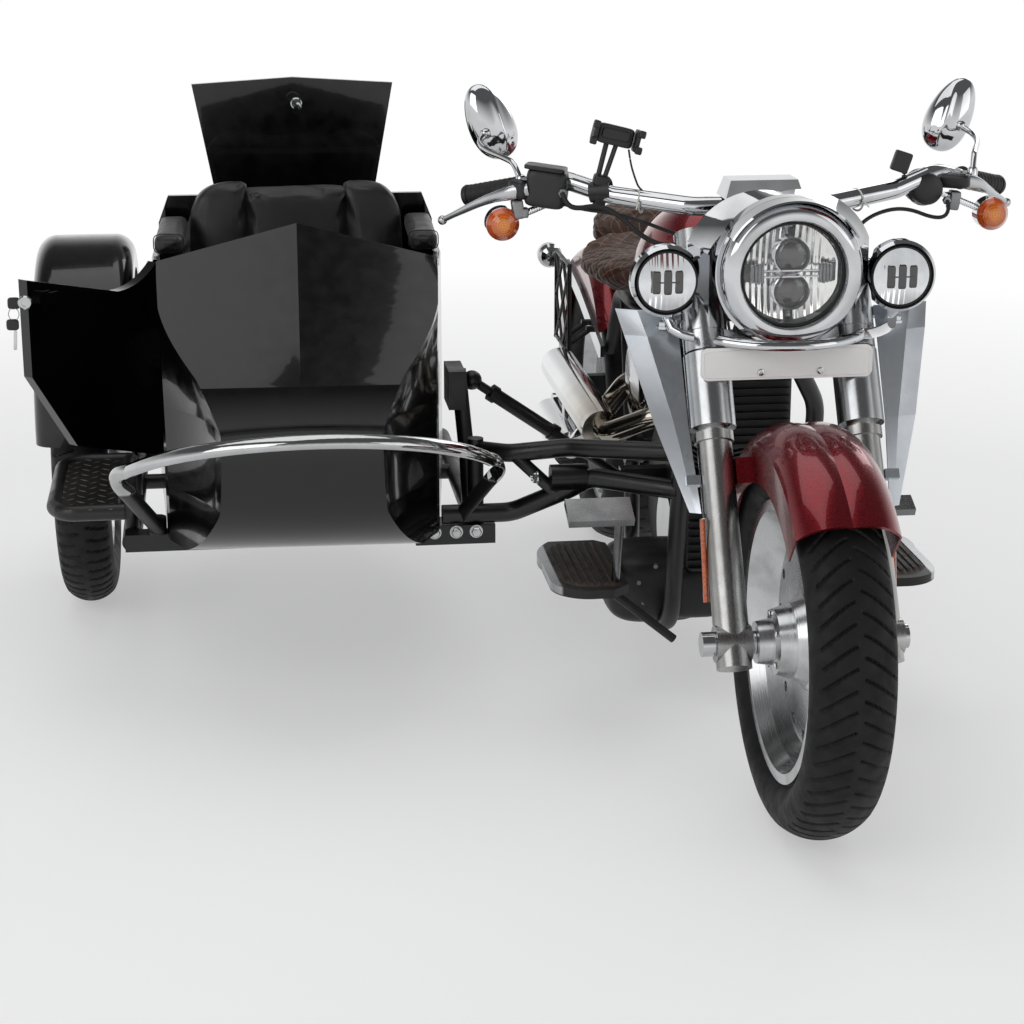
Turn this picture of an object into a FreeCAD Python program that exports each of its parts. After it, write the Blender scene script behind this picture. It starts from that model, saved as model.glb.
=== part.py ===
# Sidecar motorcycle: a heavy cruiser with a chassis-mounted one-seat sidecar on the rider's right.
# Sizes are in millimetres. X runs to the rider's left, Y runs rearward and Z runs up from the ground.
# Shapes are drawn round the front wheel's ground contact and then moved into the part's own frame,
# whose origin lies on the ground under the middle of the whole vehicle.
import FreeCAD
import Part
import math
import os
import Sketcher
from FreeCAD import Placement, Rotation, Vector

doc = FreeCAD.newDocument("SidecarMotorcycle")
sheet = doc.addObject("Spreadsheet::Sheet", "Sizes")

# name, value: every driving dimension of the vehicle, grouped by the piece that it sizes
size_table = (
    # whole vehicle
    ("frame_shift_x", 379.0),
    ("frame_shift_y", -834.5),
    ("wheelbase", 1638.0),
    ("rake_angle", 31.0),
    ("fork_offset", 39.3),
    ("seat_gap", 0.3),
    ("running_gap", 6.0),
    # wheels
    ("front_tyre_radius", 321.0),
    ("front_tyre_width", 134.0),
    ("front_rim_radius", 217.0),
    ("front_hub_half", 88.0),
    ("front_hub_radius", 62.0),
    ("rear_tyre_radius", 326.0),
    ("rear_tyre_width", 200.0),
    ("rear_rim_radius", 217.0),
    ("rear_hub_half", 84.0),
    ("rear_hub_radius", 70.0),
    ("side_tyre_radius", 321.0),
    ("side_tyre_width", 112.0),
    ("side_rim_radius", 203.0),
    ("side_hub_half", 46.0),
    ("side_hub_radius", 52.0),
    ("rim_lip_height", 13.0),
    ("rim_lip_thickness", 6.0),
    ("wheel_disc_thickness", 14.0),
    ("tyre_crown", 22.0),
    ("wheel_hole_radius", 9.0),
    ("wheel_hole_count", 15.0),
    ("rotor_radius", 146.0),
    ("rotor_thickness", 5.0),
    ("axle_radius", 12.5),
    # fork and steering head
    ("leg_spacing", 251.0),
    ("slider_radius", 29.0),
    ("slider_top", 352.0),
    ("slider_foot", 42.0),
    ("stanchion_radius", 24.5),
    ("cover_radius", 38.5),
    ("cover_bottom", 360.0),
    ("cover_top", 486.0),
    ("lower_clamp", 490.0),
    ("lower_clamp_height", 34.0),
    ("upper_clamp", 676.0),
    ("upper_clamp_height", 26.0),
    ("stem_radius", 15.0),
    ("head_tube_radius", 33.0),
    # handlebar
    ("bar_radius", 16.0),
    ("bar_height", 962.0),
    ("bar_set_back", 408.0),
    ("grip_radius", 18.5),
    # motorcycle frame and engine
    ("frame_tube_radius", 16.0),
    ("frame_bend", 90.0),
    ("backbone_radius", 24.0),
    ("backbone_height", 690.0),
    ("cradle_half", 118.0),
    ("cradle_front", 540.0),
    ("cradle_height", 152.0),
    ("upright_half", 84.0),
    ("rail_height", 666.0),
    ("pivot_y", 1150.0),
    ("pivot_height", 340.0),
    ("pivot_half", 62.0),
    ("pivot_lug_radius", 30.0),
    ("arm_spread", 150.0),
    ("arm_radius", 15.0),
    ("case_half", 62.0),
    ("crank_height", 262.0),
    ("case_top", 427.0),
    ("barrel_radius", 50.0),
    ("fin_radius", 74.0),
    ("fin_thickness", 4.0),
    ("fin_start", 172.0),
    ("fin_pitch", 11.0),
    ("fin_count", 11.0),
    ("head_start", 290.0),
    ("cleaner_start", 96.0),
    ("cleaner_radius", 92.0),
    ("tank_front", 500.0),
    ("tank_back", 900.0),
    ("tank_half", 165.0),
    ("tank_top", 935.0),
    ("rear_fender_radius", 352.0),
    ("rear_fender_half", 118.0),
    ("fender_sheet", 3.0),
    ("belt_plane", 118.0),
    ("belt_width", 20.0),
    ("belt_thickness", 6.0),
    ("pulley_radius", 96.0),
    ("driver_radius", 52.0),
    ("guard_plane", 187.0),
    ("silencer_radius", 38.0),
    ("upper_silencer_end", 1320.0),
    ("lower_silencer_end", 1350.0),
    ("board_inner", 218.0),
    ("board_outer", 354.0),
    ("board_front", 400.0),
    ("board_back", 700.0),
    ("board_height", 285.0),
    ("board_thickness", 16.0),
    ("stand_root", 700.0),
    ("stand_length", 232.0),
    ("stand_height", 160.0),
    # front fender, lamps and controls
    ("clamp_radius", 37.0),
    ("axle_cap_radius", 20.0),
    ("front_fender_radius", 349.0),
    ("front_fender_half", 82.0),
    ("front_fender_sweep", 118.0),
    ("front_fender_start", 14.0),
    ("headlamp_lift", 64.0),
    ("headlamp_front", 172.0),
    ("headlamp_ring", 115.0),
    ("headlamp_lens", 84.0),
    ("nacelle_front", 232.0),
    ("nacelle_back", 366.0),
    ("nacelle_half", 154.0),
    ("nacelle_sheet", 3.0),
    ("lamp_bar_drop", 111.0),
    ("cap_rise", 31.0),
    ("aux_spread", 197.0),
    ("aux_set_back", 262.0),
    ("aux_drop", 17.0),
    ("aux_radius", 60.0),
    ("plate_width", 288.0),
    ("plate_height", 54.0),
    ("plate_low", 711.0),
    ("plate_front", 186.0),
    ("mirror_spread", 429.0),
    ("mirror_set_back", 740.0),
    ("mirror_height", 1071.0),
    ("mirror_half", 40.0),
    ("mirror_tall", 70.0),
    ("mirror_deep", 36.0),
    ("deflector_sheet", 4.0),
    # sidecar
    ("side_wheel_offset", 1213.0),
    ("side_wheel_lead", 274.0),
    ("tub_offset", 785.0),
    ("cowl_edge", 630.0),
    ("cowl_corner_height", 848.0),
    ("cowl_ridge_height", 912.0),
    ("tub_front_half", 248.0),
    ("tub_back", 1440.0),
    ("tub_back_half", 284.0),
    ("tub_floor", 342.0),
    ("tub_wall", 14.0),
    ("tub_rim", 790.0),
    ("door_back", 985.0),
    ("door_length", 350.0),
    ("door_thickness", 22.0),
    ("door_open_angle", 42.0),
    ("bulkhead_height", 842.0),
    ("bulkhead_half", 264.0),
    ("tail_end", 1815.0),
    ("tail_half", 168.0),
    ("tail_deck", 578.0),
    ("tail_floor", 400.0),
    ("lid_thickness", 14.0),
    ("lid_open_angle", 54.8),
    ("lid_length", 446.0),
    ("crease_height", 666.0),
    ("tub_wide_from", 1100.0),
    ("door_gap", 5.0),
    ("swing_ease", 1.6),
    ("hinge_radius", 9.0),
    ("hinge_pin_radius", 4.0),
    ("soft_gap", 0.4),
    ("arm_pad_low", 770.3),
    ("arm_rim", 770.0),
    ("chassis_tube_radius", 18.0),
    ("chassis_rail_half", 190.0),
    ("bracket_x", -432.0),
    ("hoop_radius", 14.5),
    ("hoop_crown", 622.0),
    ("beam_front", 652.0),
    ("body_turn", 1.9),
    ("step_height", 395.0),
    ("strut_radius", 17.0),
    ("wing_half", 98.5),
    ("wing_aside", 19.5),
    ("wing_radius", 354.0),
    ("wing_start", 0.0),
    ("wing_sweep", 180.0),
    ("wing_rise", 97.0),
)
for row, (alias, value) in enumerate(size_table, start=1):
    sheet.set("A%d" % row, alias)
    sheet.set("B%d" % row, str(value))
    sheet.setAlias("B%d" % row, alias)
doc.recompute()


class NamedSizes:
    # reads a size from the sheet by its name
    def __getattr__(self, alias):
        return float(getattr(sheet, alias))


size = NamedSizes()
left, back, up = Vector(1, 0, 0), Vector(0, 1, 0), Vector(0, 0, 1)
parts = []


def amount(value):
    # the number behind a size's name, which may have a minus sign, or the number itself
    if not isinstance(value, str):
        return value
    if value.startswith("-"):
        return -getattr(size, value[1:])
    return getattr(size, value)


def bind(thing, prop, value):
    # a name ties the property to its cell, and a number is written as it is
    if isinstance(value, str):
        minus = "-" if value.startswith("-") else ""
        thing.setExpression(prop, minus + "Sizes." + value.lstrip("-"))
    else:
        setattr(thing, prop, value)


def keep(made, label):
    # a finished sub-part, whose Label names its file
    made.Label = label
    parts.append(made)
    return made


def cylinder(radius, length, base, axis=up):
    made = doc.addObject("Part::Cylinder", "Cylinder")
    bind(made, "Radius", radius)
    bind(made, "Height", length)
    made.Placement = Placement(base, Rotation(up, axis))
    return made


def cone(radius, end_radius, length, base, axis=up):
    made = doc.addObject("Part::Cone", "Cone")
    bind(made, "Radius1", radius)
    bind(made, "Radius2", end_radius)
    bind(made, "Height", length)
    made.Placement = Placement(base, Rotation(up, axis))
    return made


def sphere(radius, centre):
    made = doc.addObject("Part::Sphere", "Sphere")
    bind(made, "Radius", radius)
    made.Placement = Placement(centre, Rotation())
    return made


def torus(radius, wire_radius, centre, axis=up):
    made = doc.addObject("Part::Torus", "Torus")
    bind(made, "Radius1", radius)
    bind(made, "Radius2", wire_radius)
    made.Placement = Placement(centre, Rotation(up, axis))
    return made


def box(length, width, height, corner, turn=None):
    made = doc.addObject("Part::Box", "Box")
    bind(made, "Length", length)
    bind(made, "Width", width)
    bind(made, "Height", height)
    made.Placement = Placement(corner, turn or Rotation())
    return made


def drawn(shape):
    # a shape worked out in code, for forms that no sketch or primitive fits
    made = doc.addObject("Part::Feature", "Drawn")
    made.Shape = shape
    return made


def joined(pieces):
    made = doc.addObject("Part::MultiFuse", "Joined")
    made.Refine = False
    made.Shapes = pieces
    return made


def grouped(pieces):
    made = doc.addObject("Part::Compound", "Group")
    made.Links = pieces
    return made


def cut(base, tool):
    made = doc.addObject("Part::Cut", "Cut")
    made.Refine = False
    made.Base = base
    made.Tool = tool
    return made


def spans(outline):
    # start, via and end of each run of a closed outline: a corner is (a, b), and ("via", a, b)
    # between two corners makes that run an arc
    runs = []
    start, via = outline[0], None
    for item in tuple(outline[1:]) + (outline[0],):
        if len(item) == 3:
            via = item[1:]
        else:
            runs.append((start, via, item))
            start, via = item, None
    return runs


def wire(outline, at):
    # closed wire of an outline, where at(a, b) gives a flat point's place in space
    edges = []
    for start, via, end in spans(outline):
        if via:
            edges.append(Part.Arc(at(*start), at(*via), at(*end)).toShape())
        else:
            edges.append(Part.LineSegment(at(*start), at(*end)).toShape())
    return Part.Wire(edges)


def level(height):
    # outlines of (x, y) at a height
    return lambda x, y: Vector(x, y, height)


def upright(y):
    # outlines of (x, z) across the vehicle
    return lambda x, z: Vector(x, y, z)


def side(x):
    # outlines of (y, z) seen from the side
    return lambda y, z: Vector(x, y, z)


def prism(outline, at, depth):
    # outline swept straight by the vector depth
    return Part.Face(wire(outline, at)).extrude(depth)


def loft(wires, ruled=True):
    return Part.makeLoft(wires, True, ruled)


def bent_path(points, bend):
    # straight runs joined by tangent arcs of one bend radius, smaller where a run is short
    edges = []
    start = points[0]
    for before, corner, after in zip(points, points[1:], points[2:]):
        into, out = corner - before, after - corner
        half = into.getAngle(out) / 2
        reach = min(bend * math.tan(half), 0.45 * min(into.Length, out.Length))
        radius = reach / math.tan(half)
        into.normalize()
        out.normalize()
        inward = (out - into).normalize()
        first, last = corner - into * reach, corner + out * reach
        middle = corner + inward * (radius / math.cos(half) - radius)
        edges.append(Part.LineSegment(start, first).toShape())
        edges.append(Part.Arc(first, middle, last).toShape())
        start = last
    edges.append(Part.LineSegment(start, points[-1]).toShape())
    return Part.Wire(edges)


def swept(path, radius):
    # round bar along a path
    edge = path.Edges[0]
    start = edge.valueAt(edge.FirstParameter)
    along = edge.tangentAt(edge.FirstParameter)
    if (start - path.Vertexes[0].Point).Length > 0.001:
        start, along = path.Vertexes[0].Point, along * -1
    ring = Part.Wire(Part.Circle(start, along, radius).toShape())
    return path.makePipeShell([ring], True, False)


def tube(points, radius, bend):
    return drawn(swept(bent_path([Vector(*point) for point in points], bend), radius))


def new_body():
    return doc.addObject("PartDesign::Body", "Body")


def origin_item(body, role):
    return next(item for item in body.Origin.OriginFeatures if item.Role == role)


def sketch_on(body, role, offset=0.0):
    made = body.newObject("Sketcher::SketchObject", "Sketch")
    made.AttachmentSupport = [(origin_item(body, role), "")]
    made.MapMode = "FlatFace"
    made.AttachmentOffset = Placement(Vector(0, 0, offset), Rotation())
    return made


def hold_point(made, item, end, a, b):
    # one sketch point at its two distances from the origin, each tied to its size where it has a name
    for kind, axis, value in (("DistanceX", -2, a), ("DistanceY", -1, b)):
        if abs(amount(value)) < 1e-6:
            made.addConstraint(Sketcher.Constraint("PointOnObject", item, end, axis))
            continue
        number = made.addConstraint(Sketcher.Constraint(kind, item, end, amount(value)))
        if isinstance(value, str):
            bind(made, "Constraints[%d]" % number, value)


def add_arc(made, here, middle, there):
    # sketch arcs run anticlockwise, so one drawn the other way is added from its far end
    through = Part.ArcOfCircle(here, middle, there)
    flipped = (middle - here).cross(there - middle).z < 0
    spokes = [point - through.Center for point in ((there, here) if flipped else (here, there))]
    first, last = [math.atan2(spoke.y, spoke.x) for spoke in spokes]
    if last < first:
        last += 2 * math.pi
    circle = Part.Circle(through.Center, up, through.Radius)
    item = made.addGeometry(Part.ArcOfCircle(circle, first, last), False)
    made.addConstraint(Sketcher.Constraint("Radius", item, through.Radius))
    return item, flipped


def trace(made, outline):
    # closed outline of lines and arcs with every corner held and every arc's radius set
    last = None
    first = None
    for start, via, end in spans(outline):
        here = Vector(amount(start[0]), amount(start[1]), 0)
        there = Vector(amount(end[0]), amount(end[1]), 0)
        if via:
            item, flipped = add_arc(made, here, Vector(amount(via[0]), amount(via[1]), 0), there)
        else:
            item = made.addGeometry(Part.LineSegment(here, there), False)
            flipped = False
        near, far = (2, 1) if flipped else (1, 2)
        if last:
            made.addConstraint(Sketcher.Constraint("Coincident", last[0], last[1], item, near))
        else:
            first = (item, near)
        hold_point(made, item, near, start[0], start[1])
        last = (item, far)
    made.addConstraint(Sketcher.Constraint("Coincident", last[0], last[1], first[0], first[1]))


def turned(outline, centre, axis=left, angle=360.0, start=0.0):
    # body of revolution: the outline's first value lies along the axis and its second is the radius;
    # about the X axis a part turn counts from the rear, over the top, to the front
    body = new_body()
    profile = sketch_on(body, "XY_Plane")
    trace(profile, outline)
    turn = body.newObject("PartDesign::Revolution", "Turned")
    turn.Profile = profile
    turn.ReferenceAxis = (profile, ["H_Axis"])
    bind(turn, "Angle", angle)
    body.Tip = turn
    body.Placement = Placement(centre, Rotation(axis, start) * Rotation(left, axis))
    return body


def padded(outline, role, offset, length):
    # body with one pad: the outline on an origin plane of the body, raised by its offset
    body = new_body()
    profile = sketch_on(body, role, offset)
    trace(profile, outline)
    pad = body.newObject("PartDesign::Pad", "Pad")
    pad.Profile = profile
    bind(pad, "Length", length)
    body.Tip = pad
    return body


def drill(body, role, offset, holes, depth, reverse=False):
    # round pockets in a body's tip, each hole as (a, b, radius) on an origin plane
    profile = sketch_on(body, role, offset)
    for a, b, radius in holes:
        ring = Part.Circle(Vector(amount(a), amount(b), 0), up, amount(radius))
        item = profile.addGeometry(ring, False)
        hold_point(profile, item, 3, a, b)
        number = profile.addConstraint(Sketcher.Constraint("Radius", item, amount(radius)))
        if isinstance(radius, str):
            bind(profile, "Constraints[%d]" % number, radius)
    pocket = body.newObject("PartDesign::Pocket", "Holes")
    pocket.Profile = profile
    bind(pocket, "Length", depth)
    pocket.Reversed = reverse
    body.Tip = pocket
    return pocket


def ring_of(body, feature, count, role="X_Axis"):
    # repeats a feature evenly about an origin axis of the body
    pattern = body.newObject("PartDesign::PolarPattern", "Ring")
    pattern.Originals = [feature]
    pattern.Axis = (origin_item(body, role), [""])
    pattern.Angle = 360
    bind(pattern, "Occurrences", count)
    body.Tip = pattern
    return pattern


# places that many pieces share
rake = math.radians(size.rake_angle)
fork_rise = Vector(0, math.sin(rake), math.cos(rake))
fork_back = Vector(0, math.cos(rake), -math.sin(rake))
front_axle = Vector(0, 0, size.front_tyre_radius)
rear_axle = Vector(0, size.wheelbase, size.rear_tyre_radius)
side_axle = Vector(-size.side_wheel_offset, size.wheelbase - size.side_wheel_lead, size.side_tyre_radius)
leg_x = size.leg_spacing / 2


def leg_point(sign, along):
    # point on a fork leg's centre line, along the fork from the front axle
    return front_axle + left * (sign * leg_x) + fork_rise * along


def stem_point(along, aside=0.0):
    # point on the steering axis, which lies behind the legs by the fork offset
    return front_axle + fork_rise * along + fork_back * size.fork_offset + left * aside


def make_wheels():
    # prefix, axle centre, half width of the hub's run between its legs, which sides carry a rotor
    wheel_table = (
        ("front", front_axle, (1,)),
        ("rear", rear_axle, (-1,)),
        ("side", side_axle, ()),
    )
    for prefix, centre, rotor_sides in wheel_table:
        outer = getattr(size, prefix + "_tyre_radius")
        half = getattr(size, prefix + "_tyre_width") / 2
        rim = getattr(size, prefix + "_rim_radius")
        hub_half = getattr(size, prefix + "_hub_half")
        hub = getattr(size, prefix + "_hub_radius")
        bead = half * 0.70
        lip = rim + size.rim_lip_height
        shoulder = half * 0.84
        middle = rim + 0.48 * (outer - rim)
        name = {"front": "front", "rear": "rear", "side": "sidecar"}[prefix]

        # tyre: bead seats, bowed side walls and a crowned tread
        tyre = turned((
            (-bead, rim + size.seat_gap),
            (bead, rim + size.seat_gap),
            (bead, lip + 3),
            ("via", half, middle),
            (shoulder, outer - size.tyre_crown),
            ("via", 0, outer),
            (-shoulder, outer - size.tyre_crown),
            ("via", -half, middle),
            (-bead, lip + 3),
        ), centre)
        keep(tyre, name + "_tyre")

        # wheel: deep rim, flat disc with a ring of holes, and a stepped hub
        lip_out = bead + size.seat_gap + size.rim_lip_thickness
        web = size.wheel_disc_thickness / 2
        quarter = (
            (hub_half, size.axle_radius + size.seat_gap),
            (hub_half, hub * 0.55),
            (hub_half * 0.72, hub * 0.62),
            (hub_half * 0.66, hub * 0.86),
            (hub_half * 0.36, hub),
            (web + 4, hub * 1.2),
            (web, hub * 1.32),
            (web, rim - 42),
            (bead * 0.62, rim - 22),
            (lip_out, rim - 4),
            (lip_out, lip),
            (bead + size.seat_gap, lip),
            (bead + size.seat_gap, rim),
        )
        mirrored = tuple((-a, b) for a, b in reversed(quarter))
        disc = turned(quarter + mirrored, centre)
        ring_at = rim - 42 - 1.6 * size.wheel_hole_radius
        hole = drill(disc, "YZ_Plane", web + 20, ((ring_at, 0, "wheel_hole_radius"),), 2 * web + 40)
        ring_of(disc, hole, "wheel_hole_count")
        doc.recompute()
        pieces = [disc]
        for sign in rotor_sides:
            # brake rotor on a flat carrier that stands on the hub's shoulder
            place = hub_half * 0.62
            width = size.rotor_thickness
            rotor = turned((
                (sign * place, hub * 0.8),
                (sign * (place + width), hub * 0.8),
                (sign * (place + width), "rotor_radius"),
                (sign * place, "rotor_radius"),
            ), centre)
            pieces.append(rotor)
        if prefix == "rear":
            # belt pulley bolted to the hub's left face, with its carrier cone
            inner, outer_face = size.belt_plane - size.belt_width / 2 - 2, size.belt_plane + size.belt_width / 2 + 2
            bore = size.axle_radius + 7.5 + size.running_gap
            pieces.append(turned((
                (hub_half * 0.7, bore), (hub_half * 0.7, hub * 0.8), (inner, hub * 0.9),
                (inner, "pulley_radius"), (outer_face, "pulley_radius"), (outer_face, hub * 0.7),
                (outer_face - 8, bore)), centre))
        keep(joined(pieces) if len(pieces) > 1 else disc, name + "_wheel")


def tilted(across, along, behind, length, height, depth):
    # box square to the fork: its corner, then its size, both across, along and behind the legs
    corner = front_axle + left * across + fork_rise * along + fork_back * behind
    return box(length, depth, height, corner, Rotation(left, -size.rake_angle))


def leg_bores(radius, start, end):
    # one clearance hole round each fork leg
    return [cylinder(radius, end - start, leg_point(sign, start), fork_rise) for sign in (1, -1)]


def make_fork():
    # two clamps on one steering stem hold the legs
    gap = size.seat_gap
    pieces = []
    for start, height in ((size.lower_clamp, size.lower_clamp_height),
                          (size.upper_clamp, size.upper_clamp_height)):
        for sign in (1, -1):
            pieces.append(cylinder("clamp_radius", height, leg_point(sign, start), fork_rise))
        pieces.append(tilted(-leg_x, start, -24, 2 * leg_x, height, size.fork_offset + 48))
        pieces.append(cylinder(34, height, stem_point(start), fork_rise))
    stem_end = size.upper_clamp + size.upper_clamp_height + 8
    pieces.append(cylinder("stem_radius", stem_end - size.lower_clamp, stem_point(size.lower_clamp),
                           fork_rise))
    bores = leg_bores(size.stanchion_radius + gap, size.lower_clamp - 20, size.upper_clamp + 60)
    keep(cut(joined(pieces), joined(bores)), "steering_stem")

    # legs: polished sliders with axle lugs below, and stanchions up through both clamps
    legs = []
    for sign in (1, -1):
        legs.append(cylinder("slider_radius", size.slider_top + size.slider_foot,
                             leg_point(sign, -size.slider_foot), fork_rise))
        legs.append(cylinder(size.slider_radius + 4, 16, leg_point(sign, size.slider_top - 16), fork_rise))
        top = size.upper_clamp + size.upper_clamp_height + 4
        legs.append(cylinder("stanchion_radius", top - size.slider_top + 10,
                             leg_point(sign, size.slider_top - 10), fork_rise))
        # axle lug, flat on its inner face
        lug = cylinder(30, 2 * size.slider_radius, front_axle + left * (sign * leg_x - size.slider_radius), left)
        legs.append(lug)
    # caliper on the left leg, open over the rotor
    rotor = size.front_hub_half * 0.62
    slot_low, slot_high = rotor - 6, rotor + size.rotor_thickness + 6
    caliper = tilted(slot_low - 12, 82, 38, 44, 74, 58)
    mount = tilted(slot_high + 2, 92, 14, leg_x - slot_high - 10, 56, 40)
    slot = cylinder(size.rotor_radius + size.running_gap, slot_high - slot_low,
                    front_axle + left * slot_low, left)
    legs.append(cut(joined([caliper, mount]), slot))
    bore = cylinder(size.axle_radius + gap, 360, front_axle - left * 180, left)
    keep(cut(joined(legs), bore), "fork_legs")

    # upper covers over the stanchions, between the sliders and the lower clamp
    covers = []
    for sign in (1, -1):
        covers.append(cut(
            cylinder("cover_radius", size.cover_top - size.cover_bottom,
                     leg_point(sign, size.cover_bottom), fork_rise),
            cylinder(size.stanchion_radius + gap, 300, leg_point(sign, size.cover_bottom - 20), fork_rise)))
        low = size.lower_clamp + size.lower_clamp_height + gap
        covers.append(cut(
            cylinder("cover_radius", size.upper_clamp - gap - low, leg_point(sign, low), fork_rise),
            cylinder(size.stanchion_radius + gap, 300, leg_point(sign, low - 20), fork_rise)))
    keep(grouped(covers), "fork_covers")

    # axle with its spacers and end caps outside the lugs
    outer = leg_x + size.slider_radius + gap
    axle = [cylinder("axle_radius", 2 * outer, front_axle - left * outer, left)]
    inner = size.front_hub_half + 1
    for sign in (1, -1):
        run = leg_x - size.slider_radius - gap - inner
        axle.append(cylinder(19, run, front_axle + left * (sign * inner), left * sign))
        cap = 22 if sign < 0 else 9
        axle.append(cylinder("axle_cap_radius", cap, front_axle + left * (sign * outer), left * sign))
    keep(joined(axle), "front_axle")

    # fender: valanced arch close over the tyre, with a bracket to each slider
    top, half, wall = size.front_fender_radius, size.front_fender_half, size.fender_sheet
    arch = turned((
        (-half, top - 92), (-half + wall, top - 92), (-half + wall, top - 34),
        ("via", -half + 19 + wall, top - 12 - wall), (0, top - wall),
        ("via", half - 19 - wall, top - 12 - wall), (half - wall, top - 34),
        (half - wall, top - 92), (half, top - 92), (half, top - 33),
        ("via", half - 18, top - 11), (0, top),
        ("via", -half + 18, top - 11), (-half, top - 33)), front_axle,
        angle=size.front_fender_sweep, start=size.front_fender_start)
    reach = leg_x - size.slider_radius - gap - half + 1
    stays = [arch]
    for sign in (1, -1):
        corner = -leg_x + size.slider_radius + gap if sign < 0 else half - 1
        stays.append(tilted(corner, 262, -16, reach, 44, 32))
    keep(joined(stays), "front_fender")


def headlamp_z():
    # the lamp hangs between the two fork clamps
    return leg_point(0, (size.lower_clamp + size.upper_clamp) / 2).z + size.headlamp_lift


def make_front_lamps():
    gap = size.seat_gap
    lamp_z = headlamp_z()
    centre = Vector(0, 0, lamp_z)
    # headlamp: deep bowl, chrome ring and a slightly domed lens
    front = size.headlamp_front
    ring, lens = size.headlamp_ring, size.headlamp_lens
    lamp = turned((
        (front + 12, 0), (front + 12, lens * 0.3), (front + 14, lens * 0.7), (front + 20, lens),
        (front, lens + 6), ("via", front + 2, ring - 8), (front + 30, ring), (front + 56, ring),
        (front + 66, ring - 10), (front + 96, ring - 34), (front + 116, ring - 72), (front + 122, 0)),
        centre, back)
    keep(lamp, "headlamp")

    # nacelle: sheet cowl from the lamp ring back over the clamps, open below and behind
    def section(y, half, low, shoulder, high):
        return wire((
            (-half, low), (half, low), (half, shoulder), ("via", half * 0.72, high - (high - shoulder) * 0.28),
            (0, high), ("via", -half * 0.72, high - (high - shoulder) * 0.28), (-half, shoulder)), upright(y))
    def hood(inset):
        rows = (
            (size.nacelle_front - inset * 2, 112, lamp_z - 99, lamp_z + 15, lamp_z + 117),
            (285, size.nacelle_half, lamp_z - 93, lamp_z + 40, lamp_z + 119),
            (size.nacelle_back + inset * 2, size.nacelle_half - 22, lamp_z - 23, lamp_z + 40, lamp_z + 101),
        )
        return loft([section(y, half - inset, low - inset * 3, shoulder, high - inset)
                     for y, half, low, shoulder, high in rows])
    shell = hood(0).cut(hood(size.nacelle_sheet))
    bowl = cylinder(ring + gap, 140, Vector(0, front + 30, lamp_z), back)
    tools = [bowl] + leg_bores(size.cover_radius + gap, size.lower_clamp - 80, size.upper_clamp + 80)
    tools.append(tilted(-leg_x, size.lower_clamp - 6, -30, 2 * leg_x, 46, 110))
    visor = turned((
        (front - 6, ring + 4), (front - 4, ring + 7), (front + 62, ring + 8), (front + 62, ring + 4)),
        centre, back, angle=120.0, start=30.0)
    seat = turned((
        (front + 36, ring + gap), (front + 64, ring + gap), (front + 64, ring + 8), (front + 36, ring + 8)),
        centre, back)
    keep(joined([cut(drawn(shell), joined(tools)), visor, seat]), "headlamp_nacelle")
    # cap over the bar clamps, with the instrument face on top
    cap_low = size.bar_height + size.bar_radius + gap
    cap = loft([
        wire(((-72, 372), (64, 372), (64, 448), (-72, 448)), level(cap_low)),
        wire(((-62, 382), (54, 382), (54, 440), (-62, 440)), level(cap_low + size.cap_rise)),
    ])
    keep(drawn(cap), "instrument_cap")

    # lamp bar: a curved tube below the headlamp with a round lamp at each end
    x, y, z = size.aux_spread, size.aux_set_back, lamp_z - size.aux_drop
    bar_y, bar_z = size.headlamp_front - 22, lamp_z - size.lamp_bar_drop
    bar = swept(Part.Wire([
        Part.LineSegment(Vector(-x, y, z - 50), Vector(-x + 12, y - 24, bar_z + 14)).toShape(),
        Part.Arc(Vector(-x + 12, y - 24, bar_z + 14), Vector(-x + 34, y - 36, bar_z + 5),
                 Vector(-x + 66, y - 42, bar_z + 2)).toShape(),
        Part.Arc(Vector(-x + 66, y - 42, bar_z + 2), Vector(0, bar_y, bar_z), Vector(x - 66, y - 42, bar_z + 2)).toShape(),
        Part.Arc(Vector(x - 66, y - 42, bar_z + 2), Vector(x - 34, y - 36, bar_z + 5),
                 Vector(x - 12, y - 24, bar_z + 14)).toShape(),
        Part.LineSegment(Vector(x - 12, y - 24, bar_z + 14), Vector(x, y, z - 50)).toShape(),
    ]), 9)
    pieces = [drawn(bar)]
    for sign in (1, -1):
        outer = size.aux_radius
        pieces.append(turned((
            (-34, 0), (-34, outer * 0.3), (-31, outer * 0.6), (-24, outer - 9), (-30, outer - 5),
            (-24, outer), (-6, outer), (2, outer - 8), (34, outer - 18), (52, outer - 36), (58, 0)),
            Vector(sign * x, y, z), back))
        arm = Vector(sign * x, y + 10, z)
        tip = Vector(sign * (size.nacelle_half + gap + 1), 300, lamp_z - 5)
        pieces.append(cylinder(9, (tip - arm).Length, arm, tip - arm))
    trim = box(2 * size.nacelle_half + 2 * gap, 200, 400,
               Vector(-size.nacelle_half - gap, size.nacelle_front - 32, lamp_z - 185))
    bores = leg_bores(size.cover_radius + gap, size.lower_clamp, size.upper_clamp)
    keep(cut(joined(pieces), joined([trim] + bores)), "auxiliary_lamps")

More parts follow.
